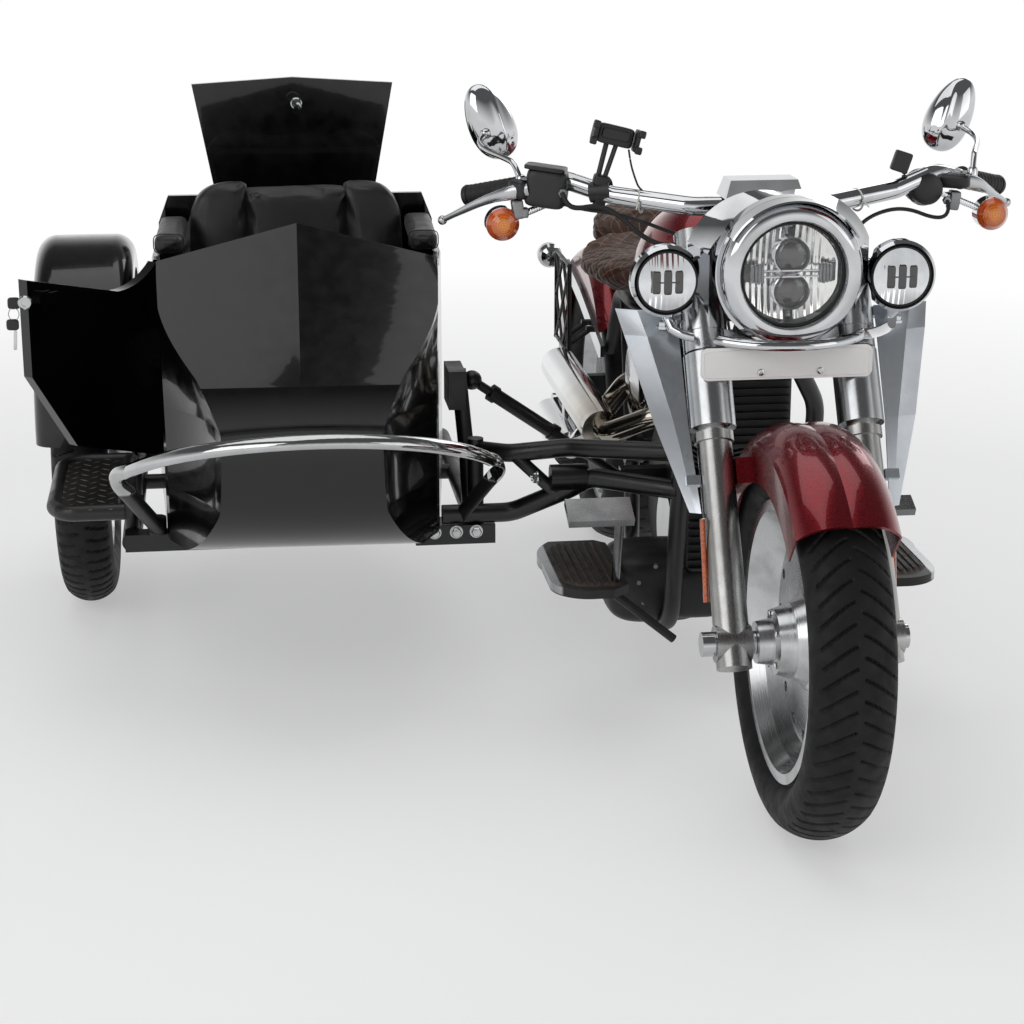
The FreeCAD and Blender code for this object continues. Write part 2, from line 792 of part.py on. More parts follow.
    # blank number plate on two tabs from the lower clamp
    w, h = size.plate_width, size.plate_height
    r = 12
    plate = prism((
        (-w / 2 + r, 0), (w / 2 - r, 0), ("via", w / 2 - r * 0.3, r * 0.3), (w / 2, r), (w / 2, h - r),
        ("via", w / 2 - r * 0.3, h - r * 0.3), (w / 2 - r, h), (-w / 2 + r, h),
        ("via", -w / 2 + r * 0.3, h - r * 0.3), (-w / 2, h - r), (-w / 2, r), ("via", -w / 2 + r * 0.3, r * 0.3)),
        lambda a, b: Vector(a - 4, size.plate_front, b + size.plate_low), back * 3)
    tabs = []
    for x in (-54, 46):
        tabs.append(box(22, 80, 4, Vector(x - 11, size.plate_front + 2, size.plate_low + 34)))
    clamp = tilted(-leg_x, size.lower_clamp - 60, -24 - gap, 2 * leg_x, 200, 200)
    keep(joined([drawn(plate), cut(joined(tabs), clamp)]), "number_plate")


def make_controls():
    gap = size.seat_gap
    path = (
        (-480, 612, 958), (-330, 505, 999), (-250, 470, 975), (-118, 412, size.bar_height),
        (118, 412, size.bar_height), (250, 470, 975), (330, 505, 999), (480, 612, 958))
    bar = tube(path, size.bar_radius, 70)
    risers = []
    for x in (-46, 46):
        foot = stem_point(size.upper_clamp + size.upper_clamp_height + gap, x) + fork_back * -8
        head = Vector(x, 412, size.bar_height)
        risers.append(cylinder(17, (head - foot).Length, foot, head - foot))
    clamp_top = size.upper_clamp + size.upper_clamp_height + gap
    clamp = tilted(-100, clamp_top - 60, -60, 200, 60, 200)
    stem_nut = cylinder(size.stem_radius + gap, 60, stem_point(size.upper_clamp), fork_rise)
    keep(cut(joined([bar] + risers), joined([clamp, stem_nut])), "handlebar")

    # grips, switch housings, levers and the phone cradle, all clamped on the bar
    sets, mirrors, signals = [], [], []
    for sign in (1, -1):
        start, end = Vector(sign * 330, 505, 999), Vector(sign * 480, 612, 958)
        run = (end - start).normalize()
        grip = cut(cylinder("grip_radius", 112, start + run * 78, run),
                   cylinder(size.bar_radius + gap, 200, start + run * 40, run))
        cap = cylinder("grip_radius", 8, start + run * 191, run)
        corner = start + run * 20 + Vector(-25, -46, -30)
        housing = cut(box(50, 74, 58, corner), tube(path, size.bar_radius + gap, 70))
        around = Vector(gap, gap, gap)
        pivot = Vector(sign * 372, 492, 972)
        knee = Vector(sign * 420, 532, 962)
        tip = Vector(sign * 524, 618, 925)
        lever = [cylinder(7, (knee - pivot).Length, pivot, knee - pivot),
                 cylinder(6, (tip - knee).Length, knee, tip - knee), sphere(7, knee), sphere(10, tip)]
        sets.append(joined([grip, cap, housing] + lever))
        # signal lamp on a short stalk from the housing
        lamp = Vector(sign * 436, 505, 925)
        stalk = Vector(sign * 350, 503, 960) - lamp
        signals.append(cut(joined([
            turned(((-30, 0), (-29, 11), (-24, 21), (-12, 29), (14, 29), (27, 22), (33, 11), (34, 0)),
                   lamp, back),
            cylinder(6, stalk.Length + 14, lamp, stalk)]),
            box(50 + 2 * gap, 74 + 2 * gap, 58 + 2 * gap, corner - around)))
        # mirror: stalk from the housing up to an oval head that leans outward
        centre = Vector(sign * size.mirror_spread, size.mirror_set_back, size.mirror_height)
        foot = Vector(sign * 364, 520, 1019)
        tip = centre + Vector(-sign * 12, -2, -34)
        head = mirror_head(centre, sign)
        stalk = tube((foot, Vector(sign * 398, 640, 1012), tip), 6, 40)
        mirrors.append(cut(joined([head, stalk]), box(50 + 2 * gap, 74 + 2 * gap, 58 + 2 * gap,
                                                      corner - around)))
    clip = Vector(-262, 476, 996)
    holder = [cylinder(8, 78, clip, Vector(0.24, 0.18, 1)),
              box(76, 20, 30, Vector(-279, 486, 1066), Rotation(back, 14)),
              box(11, 38, 46, Vector(-286, 476, 1064), Rotation(back, 14)),
              box(11, 38, 46, Vector(-212, 476, 1046), Rotation(back, 14))]
    sets.append(cut(box(32, 24, 40, Vector(232, 456, 984), Rotation(back, 12)), tube(path, size.bar_radius + gap, 70)))
    sets.append(cut(joined(holder), tube(path, size.bar_radius + gap, 70)))
    keep(grouped(sets), "hand_controls")
    keep(grouped(mirrors), "mirrors")
    keep(grouped(signals), "front_signals")


def mirror_head(centre, sign):
    # shallow oval bowl, longer than wide, with its glass facing rearward
    half, tall, deep = size.mirror_half, size.mirror_tall, size.mirror_deep
    turn = Rotation(back, sign * 24)
    rings = []
    for step, scale in ((0.0, 0.42), (0.35, 0.86), (0.75, 1.0), (1.0, 0.97)):
        oval = Part.Ellipse(Vector(0, 0, 0), tall * scale, half * scale).toShape()
        oval.Placement = Placement(
            centre + Vector(0, -deep / 2 + deep * step, 0),
            turn * Rotation(left, -90) * Rotation(up, 90))
        rings.append(Part.Wire(oval))
    return drawn(loft(rings))


def make_deflectors():
    # bright wing beside each fork leg: a tapering sheet with a folded outer edge
    wings = []
    for sign in (1, -1):
        skin = size.deflector_sheet
        # rows up the wing: height, then the place (x, y) of inner edge, crease and outer edge
        rows = (
            (508, (158, 108), (166, 112), (176, 116)),
            (640, (167, 188), (190, 190), (222, 198)),
            (770, (169, 268), (222, 272), (258, 286)),
            (808, (170, 294), (234, 300), (268, 318)),
        )
        wires = []
        for z, near, crease, far in rows:
            front = [Vector(sign * x, y, z) for x, y in (near, crease, far)]
            rear = [Vector(sign * x, y + skin, z) for x, y in (far, crease, near)]
            wires.append(Part.makePolygon(front + rear + front[:1]))
        tabs = []
        for along, leg in ((264, size.slider_radius), (548, size.cover_radius)):
            near = leg_x + leg + size.seat_gap
            tabs.append(tilted(near if sign > 0 else -near - 24, along, -9, 24, 16, 18))
        wings.append(joined([drawn(loft(wires))] + tabs))
    keep(grouped(wings), "wind_deflectors")


def downtube_line(sign):
    # straight front run of a cradle, from its upper bend to its lower one
    return (Vector(sign * size.cradle_half, 450, 600),
            Vector(sign * size.cradle_half, size.cradle_front, size.cradle_height))


def backbone_points():
    head_low = size.lower_clamp + size.lower_clamp_height + size.seat_gap
    return (stem_point(head_low + 70) + fork_back * 26, (0, 860, size.backbone_height),
            (0, size.pivot_y - 60, 600), (0, size.pivot_y - 10, size.pivot_height + 24))


def make_frame():
    # welded tube frame: head tube, backbone, a cradle each side and rails for the seat
    tube_r, bend = size.frame_tube_radius, size.frame_bend
    head_low = size.lower_clamp + size.lower_clamp_height + size.seat_gap
    head_high = size.upper_clamp - size.seat_gap
    pieces = [cylinder("head_tube_radius", head_high - head_low, stem_point(head_low), fork_rise)]
    pieces.append(tube(backbone_points(), size.backbone_radius, 120))
    for sign in (1, -1):
        low = stem_point(head_low + 44) + fork_back * 24 + left * (sign * 14)
        upper, lower = downtube_line(sign)
        upright = sign * size.upright_half
        pieces.append(tube((
            low, upper, lower,
            (sign * size.cradle_half, 960, size.cradle_height),
            (upright, size.pivot_y - 12, size.cradle_height),
            (upright, size.pivot_y, size.pivot_height + 20),
        ), tube_r, bend))
        pieces.append(tube((
            (sign * 8, 925, 664),
            (sign * 100, 1050, size.rail_height),
            (sign * 100, 1220, size.rail_height - 6),
            (sign * 100, 1330, 512),
        ), tube_r - 2, bend))
        foot = Vector(upright, size.pivot_y, size.pivot_height)
        rise = Vector(sign * 100, 1150, size.rail_height - 4) - foot
        pieces.append(cylinder(tube_r - 2, rise.Length, foot, rise))
        # lug that takes the swinging arm's pivot, and boss that takes the fender strut
        lug = sign * (size.pivot_half + size.seat_gap)
        pieces.append(cylinder("pivot_lug_radius", size.upright_half + tube_r - abs(lug),
                               Vector(lug, size.pivot_y, size.pivot_height), left * sign))
        pieces.append(cylinder(11, size.rear_fender_half - 100, Vector(sign * 100, 1328, 512), left * sign))
    for y in (700, 950):
        pieces.append(cylinder(tube_r - 3, 2 * size.cradle_half,
                               Vector(-size.cradle_half, y, size.cradle_height), left))
    root = Vector(size.cradle_half + tube_r + size.running_gap + 12, size.stand_root, size.stand_height)
    pieces.append(cylinder(10, 22, root + stand_axis() * (12 + size.seat_gap), stand_axis()))
    bore = cylinder(size.stem_radius + size.seat_gap, head_high - head_low + 20,
                    stem_point(head_low - 10), fork_rise)
    keep(cut(joined(pieces), bore), "bike_frame")

    # side stand, folded back along the left cradle rail: its arm is modelled at rest
    turn = Vector(0.05, 1, 0).normalize()
    keep(joined([
        cylinder(12, 24, root - stand_axis() * 12, stand_axis()),
        cylinder(9, size.stand_length, root, turn),
        box(34, 46, 8, root + turn * (size.stand_length - 20) + Vector(-17, -10, -14))]), "side_stand")


def stand_axis():
    # the folded arm lies back, and its open place is out to the left and down
    folded, opened = Vector(0.05, 1, 0), Vector(0.78, 0.05, -0.62)
    return folded.cross(opened).normalize()


def make_engine():
    # one closed crankcase with a primary cover on the left and a cam cover on the right
    top, base = size.case_top, size.cradle_height + size.frame_tube_radius - 3 + size.seat_gap
    case = prism((
        (600, base + 30), (650, base), (1010, base), (1070, base + 60), (1075, top - 70),
        (1020, top - 12), (900, top), (690, top), (600, top - 52)), side(-size.case_half),
        left * 2 * size.case_half)
    middle = size.crank_height + 14
    primary = prism((
        (660, middle), ("via", 692, middle - 64), (770, middle - 86), (960, middle - 80),
        ("via", 1045, middle), (960, middle + 80), (770, middle + 90), ("via", 692, middle + 66)),
        side(size.case_half), left * 42)
    cam = cylinder(78, 22, Vector(-size.case_half - 22, 790, size.crank_height + 10), left)
    driver = Vector(size.case_half - 2, 1080, 300)
    shaft_run = size.belt_plane - size.case_half + size.belt_width / 2 + 3
    shaft = cylinder(22, shaft_run, driver, left)
    pulley = cylinder("driver_radius", size.belt_width + 4, driver + left * (shaft_run - size.belt_width - 4),
                      left)
    keep(joined([drawn(case), drawn(primary), cam, shaft, pulley]), "engine_case")

    # two finned cylinders in a narrow vee, with heads, rocker covers and the intake between them
    crank = Vector(0, 790, size.crank_height)
    pieces = []
    for lean in (-22.5, 22.5):
        rise = Vector(0, math.sin(math.radians(lean)), math.cos(math.radians(lean)))
        pieces.append(cylinder("barrel_radius", size.head_start - 140, crank + rise * 145, rise))
        for step in range(int(size.fin_count)):
            start = size.fin_start + step * size.fin_pitch
            pieces.append(cylinder("fin_radius", "fin_thickness", crank + rise * start, rise))
        turn = Rotation(up, rise)
        corner = crank + rise * size.head_start + turn.multVec(Vector(-74, -62, 0))
        pieces.append(box(148, 124, 48, corner, turn))
        corner = crank + rise * (size.head_start + 48) + turn.multVec(Vector(-60, -54, 0))
        pieces.append(box(120, 108, 32, corner, turn))
    intake = size.crank_height + size.head_start + 18
    pieces.append(cylinder(20, 200, Vector(0, 690, intake), back))
    pieces.append(cylinder(24, size.cleaner_start - size.seat_gap, Vector(0, 790, intake), left * -1))
    vee = joined(pieces)
    # the crankcase roof closes the barrels' feet
    roof = box(400, 700, 300, Vector(-200, 500, size.case_top + size.seat_gap - 300))
    keep(cut(vee, roof), "engine_cylinders")

    start, rim = -size.cleaner_start, size.cleaner_radius
    cleaner = turned((
        (start, 0), (start, rim - 14), (start - 12, rim), (start - 38, rim),
        ("via", start - 50, rim - 7), (start - 56, rim - 22), (start - 60, 0)), Vector(0, 790, intake))
    keep(cleaner, "air_cleaner")


def make_tank():
    # teardrop fuel tank over the backbone, with its console on top
    def section(y, half, low, shoulder, high):
        return wire((
            (-half * 0.62, low), (half * 0.62, low), ("via", half * 0.93, low + 22), (half, shoulder),
            ("via", half * 0.72, high - (high - shoulder) * 0.18), (0, high),
            ("via", -half * 0.72, high - (high - shoulder) * 0.18), (-half, shoulder),
            ("via", -half * 0.93, low + 22)), upright(y))
    # y, half width, underside, widest height, top
    sections = (
        (size.tank_front, 92, 800, 850, 890),
        (560, size.tank_half * 0.86, 765, 840, size.tank_top - 6),
        (700, size.tank_half, 748, 825, size.tank_top - 12),
        (size.tank_back, size.tank_half * 0.55, 745, 775, 812),
    )
    shell = loft([section(*row) for row in sections], False)
    spine = tube(backbone_points(), size.backbone_radius + size.seat_gap, 120)
    keep(cut(drawn(shell), spine), "fuel_tank")


def make_seat():
    # dished rider's seat with a raised pillion part
    def section(y, half, low, high):
        return wire((
            (-half, low), (half, low), (half, high - 40), ("via", half * 0.9, high - 10), (half * 0.55, high),
            (-half * 0.55, high), ("via", -half * 0.9, high - 10), (-half, high - 40)), upright(y))
    low = size.rail_height + size.frame_tube_radius - 2 + 0.5
    front = loft([section(*row) for row in (
        (905, 100, low + 34, 790), (1040, 185, low, 768), (1180, 205, low, 756), (1290, 160, low, 806))])
    rear = loft([section(*row) for row in (
        (1290 + size.seat_gap, 150, low + 26, 812), (1400, 138, low + 34, 816), (1530, 105, low + 52, 800))])
    keep(grouped([drawn(front), drawn(rear)]), "rider_seat")


def make_rear_end():
    # swinging arm on its pivot: its legs turn outward ahead of the tyre and carry the axle in lugs
    gap, lug = size.seat_gap, size.arm_radius + 3
    reach = size.pivot_half
    pieces = [cylinder(22, 2 * reach, Vector(-reach, size.pivot_y, size.pivot_height), left)]
    for sign in (1, -1):
        arm = size.arm_spread
        pieces.append(tube((
            (sign * (reach - 20), size.pivot_y, size.pivot_height),
            (sign * (reach - 20), size.pivot_y + 50, size.pivot_height - 2),
            (sign * arm, size.pivot_y + 150, size.pivot_height - 6),
            (sign * arm, size.wheelbase, rear_axle.z),
        ), size.arm_radius, 40))
        pieces.append(cylinder(26, 2 * lug, rear_axle + left * (sign * arm - lug), left))
    # caliper on a bracket from the right leg, open over the rotor
    rotor = -size.rear_hub_half * 0.62
    block = box(44, 46, 60, Vector(rotor - 26, size.wheelbase - 128, rear_axle.z + 60))
    slot = cylinder(size.rotor_radius + size.running_gap, size.rotor_thickness + 14,
                    rear_axle + left * (rotor - size.rotor_thickness - 7), left)
    bracket = box(size.arm_spread - abs(rotor) - 22, 26, 80,
                  Vector(-size.arm_spread, size.wheelbase - 118, rear_axle.z + 4))
    pieces += [cut(block, slot), bracket]
    bore = cylinder(size.axle_radius + gap, 400, rear_axle - left * 200, left)
    keep(cut(joined(pieces), bore), "swing_arm")

    half = size.arm_spread + lug + 12
    axle = [cylinder("axle_radius", 2 * half, rear_axle - left * half, left)]
    inner = size.rear_hub_half + size.running_gap
    outer = size.arm_spread - lug - size.seat_gap
    for sign in (1, -1):
        axle.append(cylinder(20, outer - inner, rear_axle + left * (sign * inner), left * sign))
        axle.append(cylinder(19, 12, rear_axle + left * (sign * (half - 11.7)), left * sign))
    keep(joined(axle), "rear_axle")

    # fender: an arched sheet with side skirts, swept round the rear axle
    top, wall = size.rear_fender_radius, size.fender_sheet
    width = size.rear_fender_half
    fender = turned((
        (-width, top - 78), (-width + wall, top - 78), (-width + wall, top - 26),
        ("via", -width + 26, top - 8 - wall), (-width * 0.6, top - wall),
        (width * 0.6, top - wall), ("via", width - 26, top - 8 - wall), (width - wall, top - 26),
        (width - wall, top - 78), (width, top - 78), (width, top - 24),
        ("via", width - 22, top - 6), (width * 0.6, top), (-width * 0.6, top),
        ("via", -width + 22, top - 6), (-width, top - 24)), rear_axle, angle=146.0, start=-6.0)
    keep(fender, "rear_fender")

    # bar each side of the fender from the frame's boss, with a signal lamp on its rear end
    struts = []
    for sign in (1, -1):
        face = sign * (size.rear_fender_half + size.seat_gap)
        outline = ((1308, 500), (1330, 494), (1600, 556), (1800, 590), ("via", 1814, 606), (1800, 622),
                   (1600, 592), (1330, 530), (1308, 524))
        struts.append(drawn(prism(outline, side(face), left * (sign * 8))))
        lamp = Vector(sign * 166, 1790, 634)
        stem = Vector(face + sign * 4, 1786, 606)
        struts.append(cylinder(7, (lamp - stem).Length, stem, lamp - stem))
        struts.append(turned(((-22, 0), (-21, 12), (-16, 22), (-4, 28), (14, 28), (24, 20), (30, 9), (31, 0)),
                             lamp, back))
    keep(joined(struts), "fender_struts")
    lamp_at = rear_axle + Vector(0, math.cos(math.radians(36)), math.sin(math.radians(36))) * (top + 0.3)
    rise = Vector(0, math.cos(math.radians(36)), math.sin(math.radians(36)))
    tail = cylinder(44, 34, lamp_at, rise)
    keep(tail, "tail_lamp")

    # toothed belt between the gearbox and wheel pulleys, and a lattice guard each side
    driver = Vector(size.belt_plane, 1080, 300)
    driven = rear_axle + left * size.belt_plane
    def loop(extra):
        run = driven - driver
        big, small = size.pulley_radius + extra, size.driver_radius + extra
        swing = math.asin((big - small) / run.Length)
        tilt = math.atan2(run.z, run.y)
        def at(centre, radius, angle):
            return (centre.y + radius * math.cos(angle), centre.z + radius * math.sin(angle))
        over, under = tilt + math.pi / 2 + swing, tilt - math.pi / 2 - swing
        near = at(driver, small, tilt + math.pi)
        far = at(driven, big, tilt)
        return prism((at(driver, small, over), ("via",) + near, at(driver, small, under),
                      at(driven, big, under), ("via",) + far, at(driven, big, over)),
                     side(size.belt_plane - size.belt_width / 2), left * size.belt_width)
    belt = loop(size.seat_gap + size.belt_thickness).cut(loop(size.seat_gap))
    keep(drawn(belt), "drive_belt")

    guards = []
    for sign in (1, -1):
        plane = sign * size.guard_plane
        y0, y1, z0, z1 = 1350, 1540, 500, 690
        ym, zm = (y0 + y1) / 2, (z0 + z1) / 2
        # radius and two ends of each bar: the outer frame, then the crossed lattice inside it
        bars = [(4.5, (y0, z0), (y1, z0)), (4.5, (y1, z0), (y1, z1)), (4.5, (y1, z1), (y0, z1)),
                (4.5, (y0, z1), (y0, z0)), (3.6, (y0, z0), (y1, z1)), (3.2, (y0, z1), (y1, z0)),
                (3.6, (y0, zm), (ym, z1)), (3.2, (ym, z0), (y1, zm)), (3.6, (ym, z0), (y0, zm)),
                (3.2, (y1, zm), (ym, z1))]
        for radius, (ya, za), (yb, zb) in bars:
            start, end = Vector(plane, ya, za), Vector(plane, yb, zb)
            guards.append(cylinder(radius, (end - start).Length, start, end - start))
        for ya, za in ((y0, z0), (y1, z0), (y1, z1), (y0, z1)):
            guards.append(sphere(5.6, Vector(plane, ya, za)))
        face = size.rear_fender_half + size.seat_gap + 8 + size.seat_gap
        for y, z in ((y0 + 60, z0), (y1 - 60, z0)):
            foot = Vector(sign * face, y, z + 40)
            guards.append(cylinder(7, 14, foot, left * sign))
            guards.append(cylinder(5.2, (Vector(plane, y, z) - foot).Length, foot + left * (sign * 4),
                                   Vector(plane, y, z) - foot - left * (sign * 4)))
    keep(joined(guards), "side_guards")


def make_exhaust():
    # two chrome pipes on the right: each header swells into its own silencer
    port = size.crank_height + size.head_start - 12
    pipes = []
    pipes.append(tube(((-70, 665, port), (-128, 660, port - 6), (-206, 720, 488), (-213, 800, 483)), 21, 50))
    pipes.append(cylinder("silencer_radius", size.upper_silencer_end - 760, Vector(-213, 760, 483), back))
    pipes.append(tube(((-70, 925, port), (-130, 945, port - 4), (-206, 985, 420), (-226, 1060, 366),
                       (-226, 1100, 366)), 21, 50))
    pipes.append(cylinder("silencer_radius", size.lower_silencer_end - 1060, Vector(-226, 1060, 366), back))
    # hanger from the frame's lug to the lower silencer, and a strap between the two
    pipes.append(box(110, 30, 6, Vector(-210, 1180, 363)))
    pipes.append(box(8, 34, 76, Vector(-222, 1180, 384)))
    heads = box(200, 700, 300, Vector(-74 - size.seat_gap, 500, 420))
    keep(cut(joined(pipes), heads), "exhaust")


def make_foot_rests():
    # rubber-topped board each side on two brackets from the cradle tube
    boards = []
    for sign in (1, -1):
        near, far = size.board_inner * sign, size.board_outer * sign
        low, thick = size.board_height - size.board_thickness, size.board_thickness
        y0, y1 = size.board_front, size.board_back
        plate = prism(((near, y0 + 30), (near, y1 - 20), (near + sign * 20, y1), (far - sign * 30, y1),
                       ("via", far, y1 - 60), (far, y1 - 120), (far, y0 + 70), ("via", far - sign * 22, y0 + 18),
                       (far - sign * 74, y0), (near + sign * 30, y0)), level(low), up * thick)
        boards.append(drawn(plate))
        start = size.cradle_half + size.frame_tube_radius - 3
        for y in (y0 + 60, y1 - 60):
            root = Vector(sign * (size.cradle_half + 10), y, size.cradle_height + 14)
            tip = Vector(near + sign * 40, y, low + 4)
            boards.append(cylinder(8, (tip - root).Length, root, tip - root))
    tubes = []
    for sign in (1, -1):
        tubes.append(cylinder(size.frame_tube_radius + size.seat_gap, 900,
                              Vector(sign * size.cradle_half, 400, size.cradle_height), back))
    keep(cut(joined(boards), joined(tubes)), "floorboards")

    # brake pedal on the right and gear pedal on the left, each arm rising from its board's bracket
    pedals = []
    for sign, width, depth in ((-1, 116, 62), (1, 70, 40)):
        inner = sign * 218
        pad_y, pad_z = 382, 408
        pad = box(width, depth, 14, Vector(min(inner, inner + sign * width), pad_y, pad_z), Rotation(left, 24))
        foot = Vector(sign * 228, size.board_front + 20, size.board_height + size.seat_gap)
        tip = Vector(sign * 238, pad_y + 30, pad_z + 12)
        root = Vector(sign * 240, size.board_front + 40, size.board_height + size.seat_gap)
        arm = cylinder(8, (tip - root).Length, root, tip - root)
        pedals += [pad, arm]
    floor = box(900, 400, 100, Vector(-450, 350, size.board_height + size.seat_gap - 100))
    keep(cut(joined(pedals), floor), "foot_pedals")


tub_x = -size.tub_offset


def askew(made):
    # the body stands turned a little on its chassis, with its tail toward the motorcycle
    turn = Rotation(up, -size.body_turn)
    centre = Vector(tub_x, size.cowl_edge, 0)
    made.Placement = Placement(centre - turn.multVec(centre), turn).multiply(made.Placement)
    return made


def tub_half(y):
    # half width of the tub at a place along it: it widens from the cowl to the seat
    share = min(max((y - size.cowl_edge) / (size.tub_wide_from - size.cowl_edge), 0.0), 1.0)
    return size.tub_front_half + share * (size.tub_back_half - size.tub_front_half)


def nose_form(inset, start, end):
    # nose as the common volume of its side view, which has a ridge, and its plan view, which has scoops
    def profile(aside, ridge, crease):
        return wire((
            (end, size.tub_floor + inset), (end, ridge - inset), (420 + inset, crease - inset),
            ("via", 396 + inset, 585), (397 + inset, 500), ("via", 450 + inset * 0.9, 400 + inset * 0.5),
            (545 + inset, size.tub_floor + inset)), side(tub_x + aside))
    rise = (size.cowl_ridge_height - size.crease_height) / (size.cowl_edge - 420) * (end - size.cowl_edge)
    fall = (size.cowl_corner_height - size.crease_height) / (size.cowl_edge - 420) * (end - size.cowl_edge)
    edge = size.tub_front_half
    flank = profile(-edge, size.cowl_corner_height + fall, size.crease_height)
    ridge = profile(0, size.cowl_ridge_height + rise, size.crease_height)
    other = profile(edge, size.cowl_corner_height + fall, size.crease_height)
    from_side = loft([flank, ridge, other])

    def plan(height, front, waist, waist_y, knee, stub):
        rows = []
        for sign in (1, -1):
            rows.append([(tub_x + sign * (front - inset), start), (tub_x + sign * (waist - inset), waist_y),
                         (tub_x + sign * (knee - inset), stub), (tub_x + sign * (edge - inset), end)])
        one, two = rows
        return wire((one[0], ("via",) + one[1], one[2], one[3], two[3], two[2], ("via",) + two[1], two[0]),
                    level(height))
    from_above = loft([
        plan(size.tub_floor - 20, 172, 208, 520, edge - 6, 605),
        plan(440, 139, 166, 490, edge - 6, 612),
        plan(590, 135, 168, 500, edge - 4, 615),
        plan(680, 156, 194, 490, edge - 3, 612),
        plan(780, 238, 241, 500, edge - 1, 600),
        plan(960, 240, 242, 500, edge - 1, 600)])
    return from_side.common(from_above)


def tub_form(inset, low, high, end):
    # outline of the tub seen from above, raised from its floor
    wide = size.tub_wide_from
    front = size.cowl_edge + size.seat_gap - (200 if inset else 0)
    slope = (size.tub_back_half - size.tub_front_half) / (wide - size.cowl_edge)
    front_half = size.tub_front_half - inset
    if inset:
        front_half -= 200 * slope
    points = ((tub_x - front_half, front), (tub_x + front_half, front),
              (tub_x + size.tub_back_half - inset, wide), (tub_x + size.tub_back_half - inset, end),
              (tub_x - size.tub_back_half + inset, end), (tub_x - size.tub_back_half + inset, wide))
    return prism(points, level(low), up * (high - low))


def make_tub():
    wall, rim = size.tub_wall, size.tub_rim
    high = size.bulkhead_height
    outer = tub_form(0, size.tub_floor, high, size.tub_back)
    inner = tub_form(wall, size.tub_floor + wall, high + 20, size.tub_back - wall)
    shell = outer.cut(inner)
    # rim line: dips from the cowl, level past the seat, then up to the bulkhead
    above = prism((
        (size.cowl_edge - 50, size.cowl_corner_height - 4), (size.cowl_edge + 40, size.cowl_corner_height - 12),
        ("via", 790, rim + 12), (900, rim), (1040, rim - 6), (1100, size.arm_rim), (1384, size.arm_rim),
        (1398, high),
        (size.tub_back + 50, high), (size.tub_back + 50, 1100), (size.cowl_edge - 50, 1100)),
        side(tub_x - 400), left * 800)
    # upper corners of the bulkhead lean in
    corners = []
    for sign in (1, -1):
        corners.append(prism((
            (tub_x + sign * (size.tub_back_half + 1), rim), (tub_x + sign * (size.tub_back_half + 60), rim),
            (tub_x + sign * (size.tub_back_half + 60), high + 60), (tub_x + sign * (size.bulkhead_half + 1), high + 60),
            (tub_x + sign * (size.bulkhead_half + 1), high)), upright(size.tub_back - 400), back * 500))
    gap = size.door_gap
    y = size.door_back
    doorway = prism((
        (y + gap, 402 - 2 * gap), (y - 34, 402 - 2 * gap), (y - 241 - gap * 0.3, 478 - gap * 2),
        (y - size.door_length - gap, 629 - gap * 0.6),
        (y - size.door_length - gap, 1000), (y + gap, 1000)), side(tub_x - 400), left * 300)
    tub = shell.cut(above)
    for piece in corners:
        tub = tub.cut(piece)
    tub = tub.cut(doorway)
    # wheel-side hinge posts stay on the wall: two knuckles on the door's axis
    pieces = [drawn(tub)]
    knuckles = []
    for z in (470, 700):
        knuckles.append(cylinder("hinge_radius", 26, Vector(hinge_x(), hinge_y(), z), up))
        knuckles.append(box(14, 22, 26, Vector(hinge_x() + 1, hinge_y() + 1, z)))
    pin_hole = cylinder(4.3, 400, Vector(hinge_x(), hinge_y(), 440), up)
    keep(askew(joined(pieces + [cut(joined(knuckles), pin_hole)])), "sidecar_tub")


def hinge_x():
    return tub_x - tub_half(size.door_back) - size.hinge_radius - 1


def hinge_y():
    return size.door_back + size.door_gap + 4


def make_nose():
    wall = size.tub_wall
    outer = nose_form(0, 300, size.cowl_edge)
    inner = nose_form(wall, 300, size.cowl_edge + 60)
    keep(askew(drawn(outer.cut(inner))), "sidecar_nose")


def tail_form(inset):
    # boot: straight sides that taper to a lower, narrower tail
    start, end = size.tub_back + size.seat_gap, size.tail_end
    def section(y, half, low, shoulder, top_half, high):
        return wire(((tub_x - half, low), (tub_x + half, low), (tub_x + half, shoulder), (tub_x + top_half, high),
                     (tub_x - top_half, high), (tub_x - half, shoulder)), upright(y))
    i = inset
    return loft([
        section(start + i, size.tub_back_half - i, size.tub_floor + i, size.tub_rim - i * 0.4,
                size.bulkhead_half - i * 0.6, size.bulkhead_height - i),
        section(end - i, size.tail_half - i, size.tail_floor + i, size.tail_deck - 14 - i * 0.4,
                size.tail_half - 16 - i * 0.6, size.tail_deck - i)])


def make_boot():
    wall = size.tub_wall
    shell = tail_form(0).cut(tail_form(wall))
    slope = (size.bulkhead_height - size.tail_deck) / (size.tail_end - size.tub_back)
    # deck opening, narrower toward the tail, cut square through the deck
    hole = prism(((tub_x - 196, size.tub_back + 17), (tub_x + 196, size.tub_back + 17),
                  (tub_x + 132, size.tail_end - 48), (tub_x - 132, size.tail_end - 48)), level(540), up * 400)
    hole = hole.cut(tail_form(0).common(tail_form(wall + 0.01)))
    shell = shell.cut(hole)
    knuckles = []
    for x in (-96, 66):
        knuckles.append(cylinder("hinge_radius", 30, Vector(tub_x + x, lid_hinge_y(), lid_hinge_z()), left))
        knuckles.append(box(30, 12, 20, Vector(tub_x + x, lid_hinge_y() - 5, lid_hinge_z() - 22)))
    pin_hole = cylinder(4.3, 260, Vector(tub_x - 130, lid_hinge_y(), lid_hinge_z()), left)
    keep(askew(joined([drawn(shell), cut(joined(knuckles), pin_hole)])), "sidecar_tail")


def lid_hinge_y():
    return size.tail_end - 6


def lid_hinge_z():
    return size.tail_deck + 22


